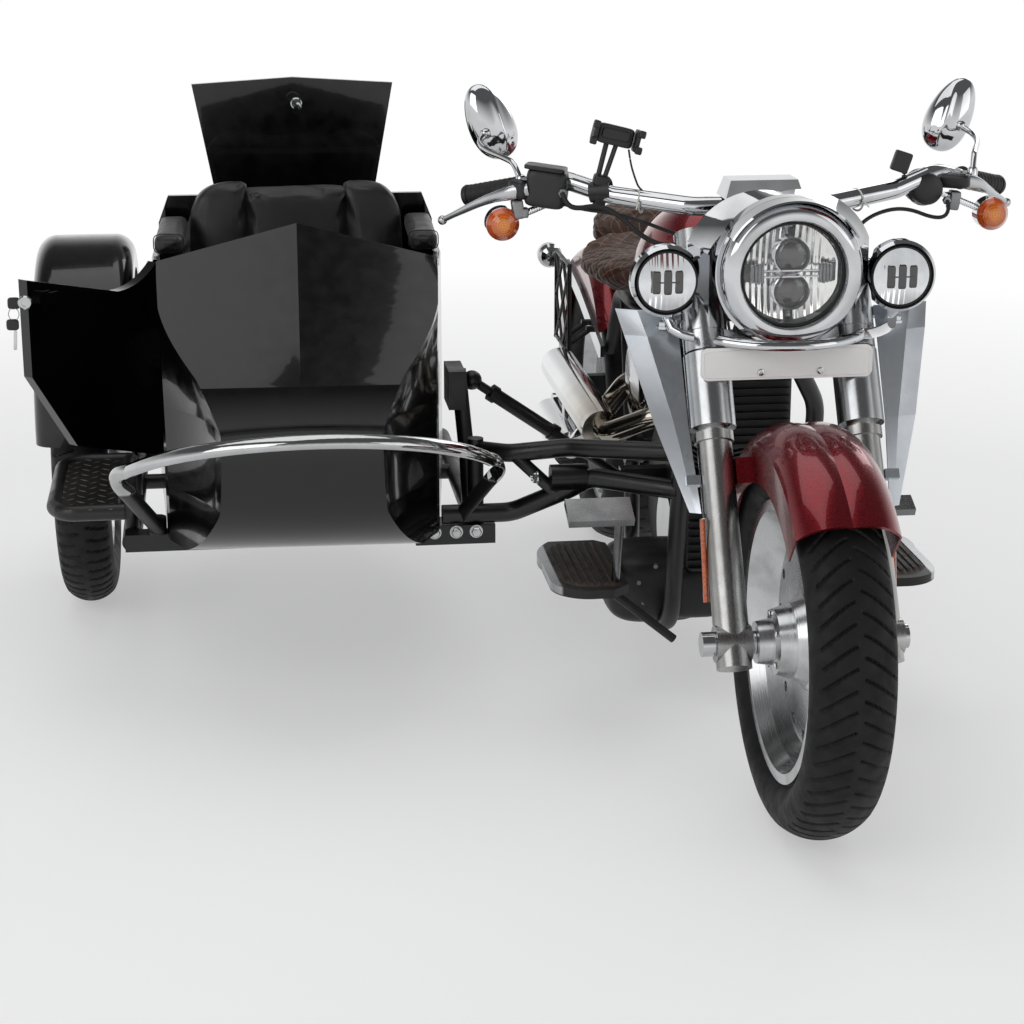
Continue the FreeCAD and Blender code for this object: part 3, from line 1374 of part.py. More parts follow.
def make_lid():
    # boot lid, modelled standing open: flat panel with a shallow peaked free edge and a lock
    y, z = lid_hinge_y(), lid_hinge_z()
    thick = size.lid_thickness
    long = size.lid_length
    # its face lies one running gap above the sloping deck once it is shut
    slope = math.atan2(size.bulkhead_height - size.tail_deck, size.tail_end - size.tub_back)
    above_deck = (z - size.tail_deck) * math.cos(slope) - (size.tail_end - y) * math.sin(slope)
    face = y - above_deck + size.running_gap
    panel = prism((
        (tub_x - 148, 22), (tub_x + 148, 22), (tub_x + 223, long - 14), (tub_x, long), (tub_x - 223, long - 14)),
        lambda a, b: Vector(a, face, z + b), back * thick)
    pieces = [drawn(panel)]
    for x in (-64, 34):
        pieces.append(box(30, 8, 34, Vector(tub_x + x, y - 6, z)))
        pieces.append(cylinder("hinge_radius", 30, Vector(tub_x + x, y, z), left))
    pieces.append(cylinder("hinge_pin_radius", 196, Vector(tub_x - 98, y, z), left))
    # lock barrel through the panel with its cam on the inner face
    lock = Vector(tub_x, face, z + long - 48)
    pieces.append(cylinder(15, 12, lock, back * -1))
    pieces.append(box(16, 5, 30, lock + Vector(-8, -16, -30)))
    pieces.append(cylinder(13, 8, lock + Vector(0, thick, 0), back))
    keep(askew(joined(pieces)), "boot_lid")


def make_door():
    # door, modelled standing open: it swings on its rear edge, so it is drawn shut and then turned
    y, thick = size.door_back, size.door_thickness
    front = y - size.door_length + size.swing_ease
    outline = (
        (y, 405), (y - 241, 478), (front, 629), (front, 807),
        (y - 112, 748), ("via", y - 50, 757), (y, 786))
    half_back, half_front = tub_half(y), tub_half(y - size.door_length)
    lean = (half_back - half_front) / size.door_length
    skin = prism(outline, lambda a, b: Vector(tub_x - half_back + (y - a) * lean, a, b), left * thick)
    # lock near the front upper corner, knob outside and bolt toward the cowl
    at = y - size.door_length + 34
    face = tub_x - half_back + (y - at) * lean
    pieces = [drawn(skin)]
    pieces.append(cylinder(13, thick + 20, Vector(face - 8, at, 770), left))
    pieces.append(box(6, 40, 16, Vector(face + thick + 4, at - 6, 762)))
    for z in (500, 730):
        pieces.append(cylinder("hinge_radius", 26, Vector(hinge_x(), hinge_y(), z), up))
        pieces.append(box(15, 20, 26, Vector(hinge_x() - 5, hinge_y() - 28, z)))
    pieces.append(cylinder("hinge_pin_radius", 288, Vector(hinge_x(), hinge_y(), 469), up))
    door = joined(pieces)
    doc.recompute()
    swing = Rotation(up, -size.door_open_angle)
    centre = Vector(hinge_x(), hinge_y(), 0)
    turned_door = doc.addObject("Part::Feature", "Opened")
    turned_door.Shape = door.Shape
    turned_door.Placement = Placement(centre - swing.multVec(centre), swing)
    keep(askew(turned_door), "sidecar_door")


def make_side_seat():
    # cushion on the tub's floor box, stitched backrest against the bulkhead, and two arm pads
    gap = size.soft_gap
    base_half = tub_half(960) - size.door_thickness - size.running_gap
    wall_y = size.tub_back - size.tub_wall
    base = box(2 * base_half, 420, 96, Vector(tub_x - base_half, 965, size.tub_floor + size.tub_wall + size.seat_gap))
    keep(askew(base), "seat_base")
    top = size.tub_floor + size.tub_wall + 96 + gap
    cushion = box(2 * base_half - 6, 332, 130, Vector(tub_x - base_half + 3, 968, top))
    keep(askew(cushion), "seat_cushion")
    rest = prism(((1303, top + 1), (wall_y - gap, top + 1), (wall_y - gap, 846),
                  (1412, 868), ("via", 1376, 880), (1346, 866), (1330, 700)), side(tub_x - 218), left * 436)
    keep(askew(drawn(rest)), "seat_backrest")
    pads = []
    for sign in (1, -1):
        inner, outer, high = 221, 283, 42
        y0, y1 = 1108, 1372
        low = size.arm_pad_low
        pad = prism((
            (y0 + 16, low), (y1, low), (y1, low + high), (y0 + 26, low + high), ("via", y0 + 7, low + high - 8),
            (y0, low + high / 2), ("via", y0 + 4, low + 6)), side(tub_x + sign * inner), left * (sign * (outer - inner)))
        pads.append(drawn(pad))
    keep(askew(grouped(pads)), "arm_pads")


def make_chassis():
    # ladder of two rails and three cross tubes under the body, with the wheel's arm outside
    gap, radius = size.seat_gap, size.chassis_tube_radius
    z = size.tub_floor - gap - radius
    rail = size.chassis_rail_half
    pieces = []
    beam_y = size.beam_front
    for sign in (1, -1):
        pieces.append(tube(((tub_x + sign * rail, beam_y + 20, z), (tub_x + sign * rail, 1500, z),
                            (tub_x + sign * (rail - 40), 1640, z + 20)), radius, 60))
    pieces.append(cylinder(radius - 3, 2 * rail - 80, Vector(tub_x - rail + 40, 1630, z + 18), left))
    outer_end = tub_x - size.tub_back_half - 30
    inner_end = size.bracket_x
    pieces.append(box(inner_end - outer_end + 12, 40, 32, Vector(outer_end - 12, beam_y, z - 14)))
    pieces.append(box(inner_end + 580, 62, 36, Vector(-580, beam_y - 13, z - 18)))
    for y in (1080, 1290):
        pieces.append(cylinder(radius - 3, inner_end - 30 - outer_end, Vector(outer_end, y, z), left))
    # outer rail that carries the step, and the trailing arm with the wheel's axle clamp
    arm_x = tub_x - size.tub_back_half - 30
    pieces.append(tube(((arm_x, beam_y + 15, z), (arm_x, side_axle.y + 40, z)), radius, 60))
    pieces.append(cylinder(30, 40, Vector(arm_x - 20, side_axle.y, side_axle.z), left))
    # inner rail that carries the struts to the motorcycle
    pieces.append(tube(((inner_end - 30, beam_y + 15, z), (inner_end - 30, side_axle.y, z)), radius, 60))
    pieces.append(tube(((inner_end - 32, 780, z), (-466, 810, 430), (-478, 850, 590)), radius - 3, 60))
    pieces.append(box(32, 96, 74, Vector(-500, 806, 520)))
    pieces.append(cylinder(15, 492 - z, Vector(inner_end - 30, 700, z), up))
    bore = cylinder(size.axle_radius + gap, 200, Vector(arm_x - 100, side_axle.y, side_axle.z), left)
    keep(cut(joined(pieces), bore), "sidecar_frame")

    axle_start = arm_x + 26
    hub_inner = side_axle.x + size.side_hub_half
    axle = [cylinder("axle_radius", axle_start - side_axle.x + 62, Vector(side_axle.x - 62, side_axle.y, side_axle.z),
                     left)]
    axle.append(cylinder(19, arm_x - 20 - gap - hub_inner - 1, Vector(hub_inner + 1, side_axle.y, side_axle.z), left))
    axle.append(cylinder(18, 12, Vector(arm_x + 20 + gap, side_axle.y, side_axle.z), left))
    axle.append(cylinder(18, 12, Vector(side_axle.x - 62, side_axle.y, side_axle.z), left))
    keep(joined(axle), "sidecar_axle")

    # bright hoop round the nose, bolted to both ends of the front cross beam
    r = size.hoop_radius
    foot_y = beam_y - 14
    left_foot, right_foot = -1052, -497
    path = Part.Wire([
        Part.LineSegment(Vector(left_foot, foot_y, 362), Vector(-1100, 470, 480)).toShape(),
        Part.Arc(Vector(-1100, 470, 480), Vector(-1109, 434, 514), Vector(-1088, 398, 533)).toShape(),
        Part.Arc(Vector(-1088, 398, 533), Vector(-785, 215, size.hoop_crown), Vector(-472, 398, 533)).toShape(),
        Part.Arc(Vector(-472, 398, 533), Vector(-447, 434, 514), Vector(-458, 470, 480)).toShape(),
        Part.LineSegment(Vector(-458, 470, 480), Vector(right_foot, foot_y, 362)).toShape()])
    hoop = [drawn(swept(path, r))]
    top = z + 18 + gap
    for x in (left_foot, right_foot):
        hoop.append(cylinder(r + 3, 32, Vector(x, beam_y + 6, top), up))
        hoop.append(sphere(r + 3, Vector(x, foot_y + 6, 362)))
    floor = box(900, 200, 60, Vector(-1250, 540, top - 60))
    keep(cut(joined(hoop), floor), "sidecar_hoop")

    # step: tread plate inside a tube loop, on two brackets from the outer rail
    y0, y1, h = 628, 985, size.step_height
    x0, x1 = -1235, -1108
    loop = tube(((x1, y0, h), (x0 + 20, y0, h), (x0, y0 + 40, h), (x0, y1, h), (x1, y1, h)), 15, 60)
    step = [loop, drawn(Part.makeBox(x1 - x0 - 8, y1 - y0, 5, Vector(x0 + 4, y0, h + 4)))]
    step.append(cylinder(15, y1 - y0, Vector(x1, y0, h), back))
    for y in (716, 940):
        step.append(cylinder(13, h - z + 6, Vector(arm_x, y, z), up))
    rail_cut = cylinder(radius + gap, 900, Vector(arm_x, 600, z), back)
    keep(cut(joined(step), rail_cut), "sidecar_step")


def make_struts():
    # upper and lower tubes from the sidecar frame to the motorcycle, with an adjustable brace above
    gap, r = size.seat_gap, size.strut_radius
    rail_x = size.bracket_x - 30
    pieces = [
        tube(((rail_x, 700, 470), (-405, 650, 474), (-300, 610, 492), (-118, 467, 514)), r, 80),
        tube(((-530, 650, 361), (-400, 650, 361), (-300, 606, 415), (-262, 590, 440), (-118, 482, 440)), r + 1, 60),
        tube(((-400, 645, 476), (-316, 606, 400)), r - 5, 20),
        cylinder(24, 66, Vector(-336, 596, 440), left),
    ]
    # adjustable brace with a ball end on the post, pinned to a bracket on the crankcase
    ball, pin = Vector(-448, 880, 560), Vector(-150, 905, 350)
    brace = pin - ball
    pieces.append(sphere(19, ball))
    pieces.append(cylinder(9, brace.Length, ball, brace))
    pieces.append(cylinder(14, brace.Length * 0.42, ball + brace * 0.12, brace))
    pieces.append(cylinder(17, 14, ball + brace * 0.12, brace))
    pieces.append(cylinder(17, 14, ball + brace * 0.52, brace))
    pieces.append(box(152 - size.case_half - gap, 30, 34, Vector(-152, 890, 334)))
    tools = [cylinder(15 + gap, 600, Vector(rail_x, 700, 100), up)]
    upper, lower = downtube_line(-1)
    tools.append(cylinder(size.frame_tube_radius + gap, 600, upper + (upper - lower).normalize() * 60,
                          lower - upper))
    keep(cut(joined(pieces), joined(tools)), "sidecar_struts")


def make_wing():
    # sidecar fender: a rolled half round over the wheel, stood high for the spring's travel
    y, z = side_axle.y, side_axle.z + size.wing_rise
    half, wall = size.wing_half, size.fender_sheet
    x = side_axle.x + size.wing_aside
    top = size.wing_radius
    arch = turned((
        (-half, top - 70), (-half + wall, top - 70), (-half + wall, top - 36),
        ("via", -half + 14, top - 15), (-half + 38, top - wall), (half - 38, top - wall),
        ("via", half - 14, top - 15), (half - wall, top - 36), (half - wall, top - 70),
        (half, top - 70), (half, top - 36), ("via", half - 11, top - 12), (half - 38, top),
        (-half + 38, top), ("via", -half + 11, top - 12), (-half, top - 36)),
        Vector(x, y, z), angle=size.wing_sweep, start=size.wing_start)
    # stays from the chassis' outer rail up inside the inner skirt
    rail_x = tub_x - size.tub_back_half - 30
    rail_top = size.tub_floor
    stays = [box(6, 26, z + 60 - rail_top, Vector(rail_x - 2, y - top + 14, rail_top))]
    foot, tip = Vector(rail_x + 1, y + 34, rail_top + 8), Vector(rail_x + 1, y + top - 30, z + 24)
    stays.append(cylinder(8, (tip - foot).Length, foot, tip - foot))
    keep(joined([arch] + stays), "sidecar_fender")


def finish():
    # moves every sub-part into the part's own frame, tests it and writes its file
    shift = Placement(Vector(size.frame_shift_x, size.frame_shift_y, 0), Rotation())
    doc.recompute()
    for made in parts:
        made.Placement = shift.multiply(made.Placement)
    doc.recompute()
    for item in doc.Objects:
        if "Invalid" in item.State or "Error" in item.State:
            raise RuntimeError("%s (%s) failed to build" % (item.Name, item.Label))
    os.makedirs("parts", exist_ok=True)
    for made in parts:
        shape = made.Shape
        if shape.isNull() or not shape.isValid() or not shape.Solids:
            raise RuntimeError(made.Label + " has no sound solid")
        shape.exportStep("parts/%s.step" % made.Label)


make_wheels()
make_fork()
make_front_lamps()
make_controls()
make_deflectors()
make_frame()
make_engine()
make_tank()
make_seat()
make_rear_end()
make_exhaust()
make_foot_rests()
make_tub()
make_nose()
make_boot()
make_lid()
make_door()
make_side_seat()
make_chassis()
make_struts()
make_wing()
finish()
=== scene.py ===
# Sidecar motorcycle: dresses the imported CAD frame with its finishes, lamps, tread, padding and small parts
import math
import bmesh
import bpy
import numpy as np
from mathutils import Matrix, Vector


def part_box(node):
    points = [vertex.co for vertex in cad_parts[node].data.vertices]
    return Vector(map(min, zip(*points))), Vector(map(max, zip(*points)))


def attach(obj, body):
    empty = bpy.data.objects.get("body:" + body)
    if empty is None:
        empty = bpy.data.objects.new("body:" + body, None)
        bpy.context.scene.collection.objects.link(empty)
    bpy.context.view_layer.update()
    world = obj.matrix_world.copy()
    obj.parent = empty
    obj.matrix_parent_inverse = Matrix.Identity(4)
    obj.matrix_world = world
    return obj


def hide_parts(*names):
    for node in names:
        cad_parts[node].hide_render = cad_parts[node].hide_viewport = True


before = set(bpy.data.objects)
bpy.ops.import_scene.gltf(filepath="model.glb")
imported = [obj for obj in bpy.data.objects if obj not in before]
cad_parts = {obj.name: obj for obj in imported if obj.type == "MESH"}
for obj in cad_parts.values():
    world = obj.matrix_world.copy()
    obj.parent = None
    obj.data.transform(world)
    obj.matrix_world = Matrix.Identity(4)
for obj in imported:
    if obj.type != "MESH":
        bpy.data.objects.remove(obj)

scene = bpy.context.scene
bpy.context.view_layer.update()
forward, rearward, upward = (np.array(v, float) for v in ((0, -1, 0), (0, 1, 0), (0, 0, 1)))


def middleOf(node):
    low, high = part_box(node)
    return (np.array(low) + np.array(high)) / 2


# the motorcycle's middle plane and its front axle in metres; the sidecar's middle plane in mm from the first
bikeX, axleY = middleOf("front_tyre")[:2]
sidecarX = -785


def place(across, along, height):
    # millimetres, as numbers or grids: to the rider's left, rearward, and up from under the front axle
    parts = bikeX + np.asarray(across) / 1000, axleY + np.asarray(along) / 1000, np.asarray(height) / 1000
    return np.stack(np.broadcast_arrays(*parts), -1)


def unit(vector):
    return np.asarray(vector, float) / np.linalg.norm(vector)


def acrossAxis(axis):
    # two directions square to an axis and to each other
    axis = unit(axis)
    first = unit(np.cross(axis, upward if abs(axis[2]) < 0.9 else (1, 0, 0)))
    return first, np.cross(axis, first)


def circle(steps, closed=False):
    return np.linspace(0, 2 * np.pi, steps, endpoint=closed)


def squared(values, power):
    # signed power that rounds a cosine or sine toward a square
    return np.sign(values) * np.abs(values) ** power


def turnedGrid(profile, centre, axis, steps=64, shut=False):
    # surface of revolution: centre + axis * along + radius * (first * cos t + second * sin t)
    profile = np.asarray(profile, float) / 1000
    first, second = acrossAxis(axis)
    t = circle(steps)[:, None]
    ring = np.cos(t) * first + np.sin(t) * second
    along, radius = profile[:, 0, None, None], profile[:, 1, None, None]
    return np.asarray(centre, float) + along * unit(axis) + radius * ring, shut, True


def tubeGrid(path, radius, sides=14, tall=None):
    # ellipse carried along a path: point + radius * first * cos t + tall * second * sin t, ends to a point
    path = np.asarray(path, float)
    tangent = np.gradient(path, axis=0)
    if np.allclose(path[0], path[-1]):
        tangent[0] = tangent[-1] = path[1] - path[-2]
    tangent /= np.linalg.norm(tangent, axis=1)[:, None]
    helper = np.where(np.abs(tangent[:, 2:3]) < 0.95, [[0.0, 0.0, 1.0]], [[0.0, 1.0, 0.0]])
    first = np.cross(tangent, helper)
    first /= np.linalg.norm(first, axis=1)[:, None]
    second = np.cross(tangent, first)
    t = circle(sides)[:, None]
    wide, high = (np.broadcast_to(np.asarray(size, float) / 1000, len(path))[:, None, None]
                  for size in (radius, radius if tall is None else tall))
    skin = path[:, None] + wide * np.cos(t) * first[:, None] + high * np.sin(t) * second[:, None]
    ends = path[[0, -1], None] + 0 * skin[:1]
    return np.concatenate([ends[:1], skin, ends[1:]]), False, True


def bentLine(points, count=40):
    # quadratic B-spline through the middles of a route's runs, from its first point to its last
    p = np.asarray(points, float)
    knots = np.concatenate([p[:1], (p[:-1] + p[1:])[1:-1] / 2, p[-1:]]) if len(p) > 3 else p[[0, -1]]
    each = max(4, count // (len(p) - 2)) if len(p) > 3 else count
    t = np.linspace(0, 1, each)[:, None]
    runs = [(1 - t) ** 2 * start + 2 * t * (1 - t) * middle + t ** 2 * end
            for start, middle, end in zip(knots[:-1], p[1:-1], knots[1:])]
    return np.concatenate([run[:-1] for run in runs] + [p[-1:]])


def boxGrid(centre, size, power=0.18, turn=None, steps=24):
    # rounded block: a super-ellipsoid, squarer as the power falls
    u = np.linspace(-np.pi / 2, np.pi / 2, steps)[:, None]
    v = np.linspace(-np.pi, np.pi, steps * 2, endpoint=False)
    ring = squared(np.cos(u), power)
    grid = np.stack([ring * squared(np.cos(v), power), ring * squared(np.sin(v), power),
                     squared(np.sin(u), power) + 0 * v], -1) * np.asarray(size, float) / 2000
    if turn is not None:
        grid = grid @ np.asarray(turn, float).T
    return grid + np.asarray(centre, float), False, True


def discGrid(centre, axis, radius, start, end, steps=32):
    # short closed cylinder from start to end along its axis
    return turnedGrid([(start, 0), (start, radius), (end, radius), (end, 0)], centre, axis, steps)


def hexGrid(centre, axis, flats, height):
    # bolt head: a six-sided bar with a chamfered top, flats apart
    return turnedGrid([(0, 0), (0, flats * 0.577), (height * 0.8, flats * 0.577), (height, flats * 0.49),
                       (height, 0)], centre, axis, 6)


def quadsOf(grid):
    # the four corners of each cell of a grid, in order round it
    return np.stack([grid[:-1, :-1], grid[:-1, 1:], grid[1:, 1:], grid[1:, :-1]], 2)


def addPiece(name, grids, body, material, smooth=35, recalc=True, covers=()):
    # joins grids of points into one mesh whose object sits at the origin; covers are UV grids
    points, faces, start = [], [], 0
    for grid, wrapRows, wrapColumns in grids:
        index = np.arange(grid.shape[0] * grid.shape[1]).reshape(grid.shape[:2]) + start
        start += index.size
        if wrapRows:
            index = np.concatenate([index, index[:1]])
        if wrapColumns:
            index = np.concatenate([index, index[:, :1]], 1)
        faces.append(quadsOf(index).reshape(-1, 4))
        points.append(grid.reshape(-1, 3))
    points, faces = np.concatenate(points), np.concatenate(faces)
    mesh = bpy.data.meshes.new(name)
    mesh.vertices.add(len(points))
    mesh.vertices.foreach_set("co", points.astype(np.float32).ravel())
    mesh.loops.add(faces.size)
    mesh.loops.foreach_set("vertex_index", faces.astype(np.int32).ravel())
    mesh.polygons.add(len(faces))
    mesh.polygons.foreach_set("loop_start", np.arange(0, faces.size, 4, dtype=np.int32))
    mesh.update(calc_edges=True)
    if len(covers):
        flat = np.concatenate([quadsOf(cover).reshape(-1) for cover in covers])
        mesh.uv_layers.new(name="cover").data.foreach_set("uv", flat.astype(np.float32))
    mesh.validate()
    work = bmesh.new()
    work.from_mesh(mesh)
    bmesh.ops.remove_doubles(work, verts=work.verts, dist=2e-6)
    bmesh.ops.dissolve_degenerate(work, edges=work.edges, dist=1e-7)
    if recalc:
        bmesh.ops.recalc_face_normals(work, faces=work.faces)
    work.to_mesh(mesh)
    work.free()
    mesh.shade_smooth()
    mesh.set_sharp_from_angle(angle=math.radians(smooth))
    piece = bpy.data.objects.new(name, mesh)
    scene.collection.objects.link(piece)
    mesh.materials.append(material)
    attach(piece, body)
    return piece


# shader nodes: a function that takes a socket works in that socket's tree
socketNames = {"colour": "Base Color", "roughness": "Roughness", "metallic": "Metallic", "ior": "IOR",
               "coat": "Coat Weight", "coatRoughness": "Coat Roughness", "sheen": "Sheen Weight",
               "specular": "Specular IOR Level", "alpha": "Alpha"}


def linear(hexColour):
    # sRGB hex to the linear values that shaders take
    channels = [int(hexColour[i:i + 2], 16) / 255 for i in (1, 3, 5)]
    return tuple(c / 12.92 if c <= 0.04045 else ((c + 0.055) / 1.055) ** 2.4 for c in channels) + (1.0,)


def setInput(node, key, value):
    # a socket is linked, an sRGB hex is made linear, a number is set
    if isinstance(value, bpy.types.NodeSocket):
        node.id_data.links.new(value, node.inputs[key])
    else:
        node.inputs[key].default_value = linear(value) if isinstance(value, str) else value


def addNode(near, kind, inputs=None, **settings):
    node = near.id_data.nodes.new("ShaderNode" + kind)
    for name, value in settings.items():
        setattr(node, name, value)
    for key, value in (inputs or {}).items():
        setInput(node, key, value)
    return node


def dress(shader, **sockets):
    for name, value in sockets.items():
        setInput(shader, socketNames[name], value)


def newFinish(name, **sockets):
    # Principled surface: its material, its shader and its Object coordinates
    material = bpy.data.materials.new(name)
    material.use_nodes = True
    shader = material.node_tree.nodes["Principled BSDF"]
    dress(shader, **sockets)
    return material, shader, addNode(shader, "TexCoord").outputs["Object"]


def grainOf(where, sizeMm, detail=3.0, stretch=None):
    # noise whose blotches are about sizeMm across; stretch draws them out along an axis
    if stretch:
        where = addNode(where, "Mapping", {0: where, "Scale": stretch}).outputs[0]
    return addNode(where, "TexNoise", {"Vector": where, "Scale": 500 / sizeMm, "Detail": detail}).outputs[0]


def cellsOf(where, scale, output):
    return addNode(where, "TexVoronoi", {"Vector": where, "Scale": scale}).outputs[output]


def spread(value, start=0.3, end=0.7, low=0.0, high=1.0):
    # maps start..end to low..high and stops there; the defaults suit a noise value
    return addNode(value, "MapRange", {0: value, 1: start, 2: end, 3: low, 4: high}).outputs[0]


def between(factor, low, high):
    return spread(factor, 0.0, 1.0, low, high)


def blend(factor, first, second):
    # mixes two colours, each a hex value or a socket
    return addNode(factor, "Mix", {0: factor, 6: first, 7: second}, data_type="RGBA").outputs[2]


def calc(operation, *values):
    near = next(value for value in values if isinstance(value, bpy.types.NodeSocket))
    return addNode(near, "Math", dict(enumerate(values)), operation=operation).outputs[0]


def vectorCalc(operation, where, other=(0, 0, 0)):
    return addNode(where, "VectorMath", {0: where, 1: other}, operation=operation).outputs[0]


def axisPart(where, axis):
    return addNode(where, "SeparateXYZ", {0: where}).outputs["XYZ".index(axis)]


def awayFrom(where, centre, keepAxes=(1, 1, 1)):
    # distance from a point, counted only along the axes that are kept
    kept = vectorCalc("MULTIPLY", vectorCalc("SUBTRACT", where, tuple(centre)), keepAxes)
    return addNode(where, "VectorMath", {0: kept}, operation="LENGTH").outputs["Value"]


def sideways(where):
    # distance from the motorcycle's middle plane
    return calc("ABSOLUTE", calc("SUBTRACT", axisPart(where, "X"), float(bikeX)))


def foldedFrom(where, centre):
    # distance from a point and from its mirror image across the motorcycle, seen from the front
    folded = addNode(where, "CombineXYZ", {0: sideways(where), 2: axisPart(where, "Z")}).outputs[0]
    return awayFrom(folded, centre, (1, 0, 1))


def ripple(value, pitch):
    # sine of a length that repeats every pitch metres
    return calc("SINE", calc("MULTIPLY", value, 2 * math.pi / pitch))


def bumped(shader, height, deepMm, strength=1.0, onCoat=False):
    bump = addNode(shader, "Bump", {"Height": height, "Distance": deepMm / 1000, "Strength": strength})
    for key in ("Normal", "Coat Normal")[:1 + onCoat]:
        setInput(shader, key, bump.outputs[0])


def plainFinish(name, colours, rough=None, bump=None, onCoat=False, **sockets):
    # colours: two ends, blotch size, detail, where the blend starts and ends; rough: two ends, blotch size,
    # detail; bump: blotch size, detail, depth, strength; sizes in mm
    material, shader, where = newFinish(name, **sockets)
    first, second, size, detail, *ends = colours
    blotch = grainOf(where, size, detail)
    dress(shader, colour=blend(spread(blotch, *ends) if ends else blotch, first, second))
    if rough:
        low, high, size, detail = rough
        dress(shader, roughness=spread(grainOf(where, size, detail), low=low, high=high))
    if bump:
        size, detail, deep, strength = bump
        bumped(shader, grainOf(where, size, detail), deep, strength, onCoat)
    return material


# finishes
def redPaint():
    # deep red metallic under clear coat: fine flake and slight orange peel
    material, shader, where = newFinish("redMetallicPaint", metallic=0.7, coat=0.6, coatRoughness=0.03)
    sparkle = spread(axisPart(cellsOf(where, 1100.0, "Color"), "X"), 0.1, 1.0)
    dress(shader, colour=blend(sparkle, "#5e030e", "#8f0a1c"), roughness=between(sparkle, 0.2, 0.3))
    bumped(shader, grainOf(where, 6, 1.0), 0.04, 0.3)
    return material


def chromePlate(name="chromePlate", stain=0.5):
    # decorative chrome on polished steel: mirror bright with thin water marks and wiped haze
    return plainFinish(name, ("#c9cbce", "#a4a4a2", 46, 6.0, 0.4, 0.8), (0.035, 0.05 + 0.16 * stain, 46, 6.0),
                       (30, 2.0, 0.05, 0.25), metallic=1.0)


def polishedAlloy(name="polishedAlloy", along=(1, 1, 0.05), low=0.16, high=0.34, first="#c4c6c8",
                  second="#a2a4a6"):
    # polished aluminium: hairline marks drawn out along the part, a little oxidised in blotches
    material, shader, where = newFinish(name, metallic=1.0)
    hair, blotch = grainOf(where, 1.6, 3.0, along), grainOf(where, 60, 4.0)
    both = calc("ADD", calc("MULTIPLY", hair, 0.5), calc("MULTIPLY", blotch, 0.5))
    dress(shader, colour=blend(spread(blotch), first, second), roughness=spread(both, low=low, high=high))
    bumped(shader, hair, 0.03, 0.35)
    return material


def turnedAlloy(name, node):
    # lathe-turned and polished aluminium wheel: fine rings round the axle
    material, shader, where = newFinish(name, metallic=1.0)
    radius = addNode(where, "CombineXYZ", {0: awayFrom(where, middleOf(node), (0, 1, 1))}).outputs[0]
    rings = addNode(where, "TexNoise", {"Vector": radius, "Scale": 900.0, "Detail": 4.0}).outputs[0]
    dress(shader, colour=blend(spread(grainOf(where, 40, 5.0), 0.45, 0.8), "#c3c5c7", "#8d8b87"),
          roughness=spread(rings, low=0.14, high=0.32))
    bumped(shader, rings, 0.04, 0.5)
    return material


def satinBlack(name="satinBlackCoat", first="#0d0d0e", second="#19191b", rough=(0.32, 0.48)):
    # black powder coat on steel: satin, fine orange peel, grey scuffs where boots and stones reach
    return plainFinish(name, (first, second, 35, 6.0, 0.5, 0.8), (*rough, 20, 4.0), (2.4, 2.0, 0.05, 0.5),
                       ior=1.5)


def mouldedPlastic(name="mouldedBlackPlastic", first="#121213", second="#1c1c1e"):
    # glass-filled nylon housing: fine spark-eroded grain and a dull sheen
    return plainFinish(name, (first, second, 25, 4.0), None, (0.9, 2.0, 0.05, 0.6), roughness=0.42, ior=1.5)


def leatherFinish(name, first, second, rough, deep=1.1, stitchesOf=None):
    # corrected-grain upholstery leather: pebble about 1.5 mm across, soft creases, worn sheen, tan thread
    material, shader, where = newFinish(name, ior=1.48, sheen=0.08)
    pebble = addNode(where, "TexVoronoi", {"Vector": where, "Scale": 620.0, "Smoothness": 0.4},
                     feature="SMOOTH_F1").outputs["Distance"]
    crease = grainOf(where, 26, 5.0)
    hide = blend(spread(crease), first, second)
    height = calc("ADD", calc("MULTIPLY", pebble, 0.35), crease)
    if stitchesOf:
        thread = stitchesOf(where)
        hide, height = blend(thread, hide, "#8a6a52"), calc("ADD", height, calc("MULTIPLY", thread, 0.6))
    dress(shader, colour=hide, roughness=spread(crease, low=rough[0], high=rough[1]))
    bumped(shader, height, deep, 0.5)
    return material


def diamondStitches(where):
    # rows of thread on both diagonals of the cover's own lengths, each broken into stitches
    cover = addNode(where, "UVMap", uv_map="cover").outputs[0]
    s, t = axisPart(cover, "X"), axisPart(cover, "Y")
    ways = calc("ADD", s, t), calc("SUBTRACT", s, t)
    lines = []
    for across, along in (ways, ways[::-1]):
        fold, dash = (calc("PINGPONG", calc("ADD", way, 100.0), padSizes[key] / 2000)
                      for way, key in ((across, "quilt"), (along, "stitch")))
        lines.append(calc("MULTIPLY", spread(fold, 0.0006, 0.0012, 1.0, 0.0), spread(dash, 0.0002, 0.0004)))
    return calc("MAXIMUM", *lines)


def twoFinishes(name, grainMm, first, second, mask):
    # two looks shared out by a mask of the place; a look is two hex ends, metallic and roughness
    material, shader, where = newFinish(name, ior=1.5)
    factor, mottle = mask(where), grainOf(where, 30, 5.0)
    rough = calc("ADD", between(factor, first[3], second[3]),
                 calc("MULTIPLY", calc("SUBTRACT", mottle, 0.5), 0.12))
    dress(shader, colour=blend(factor, blend(mottle, *first[:2]), blend(mottle, *second[:2])),
          metallic=between(factor, first[2], second[2]), roughness=rough)
    bumped(shader, grainOf(where, grainMm, 2.0), 0.04, 0.5)
    return material


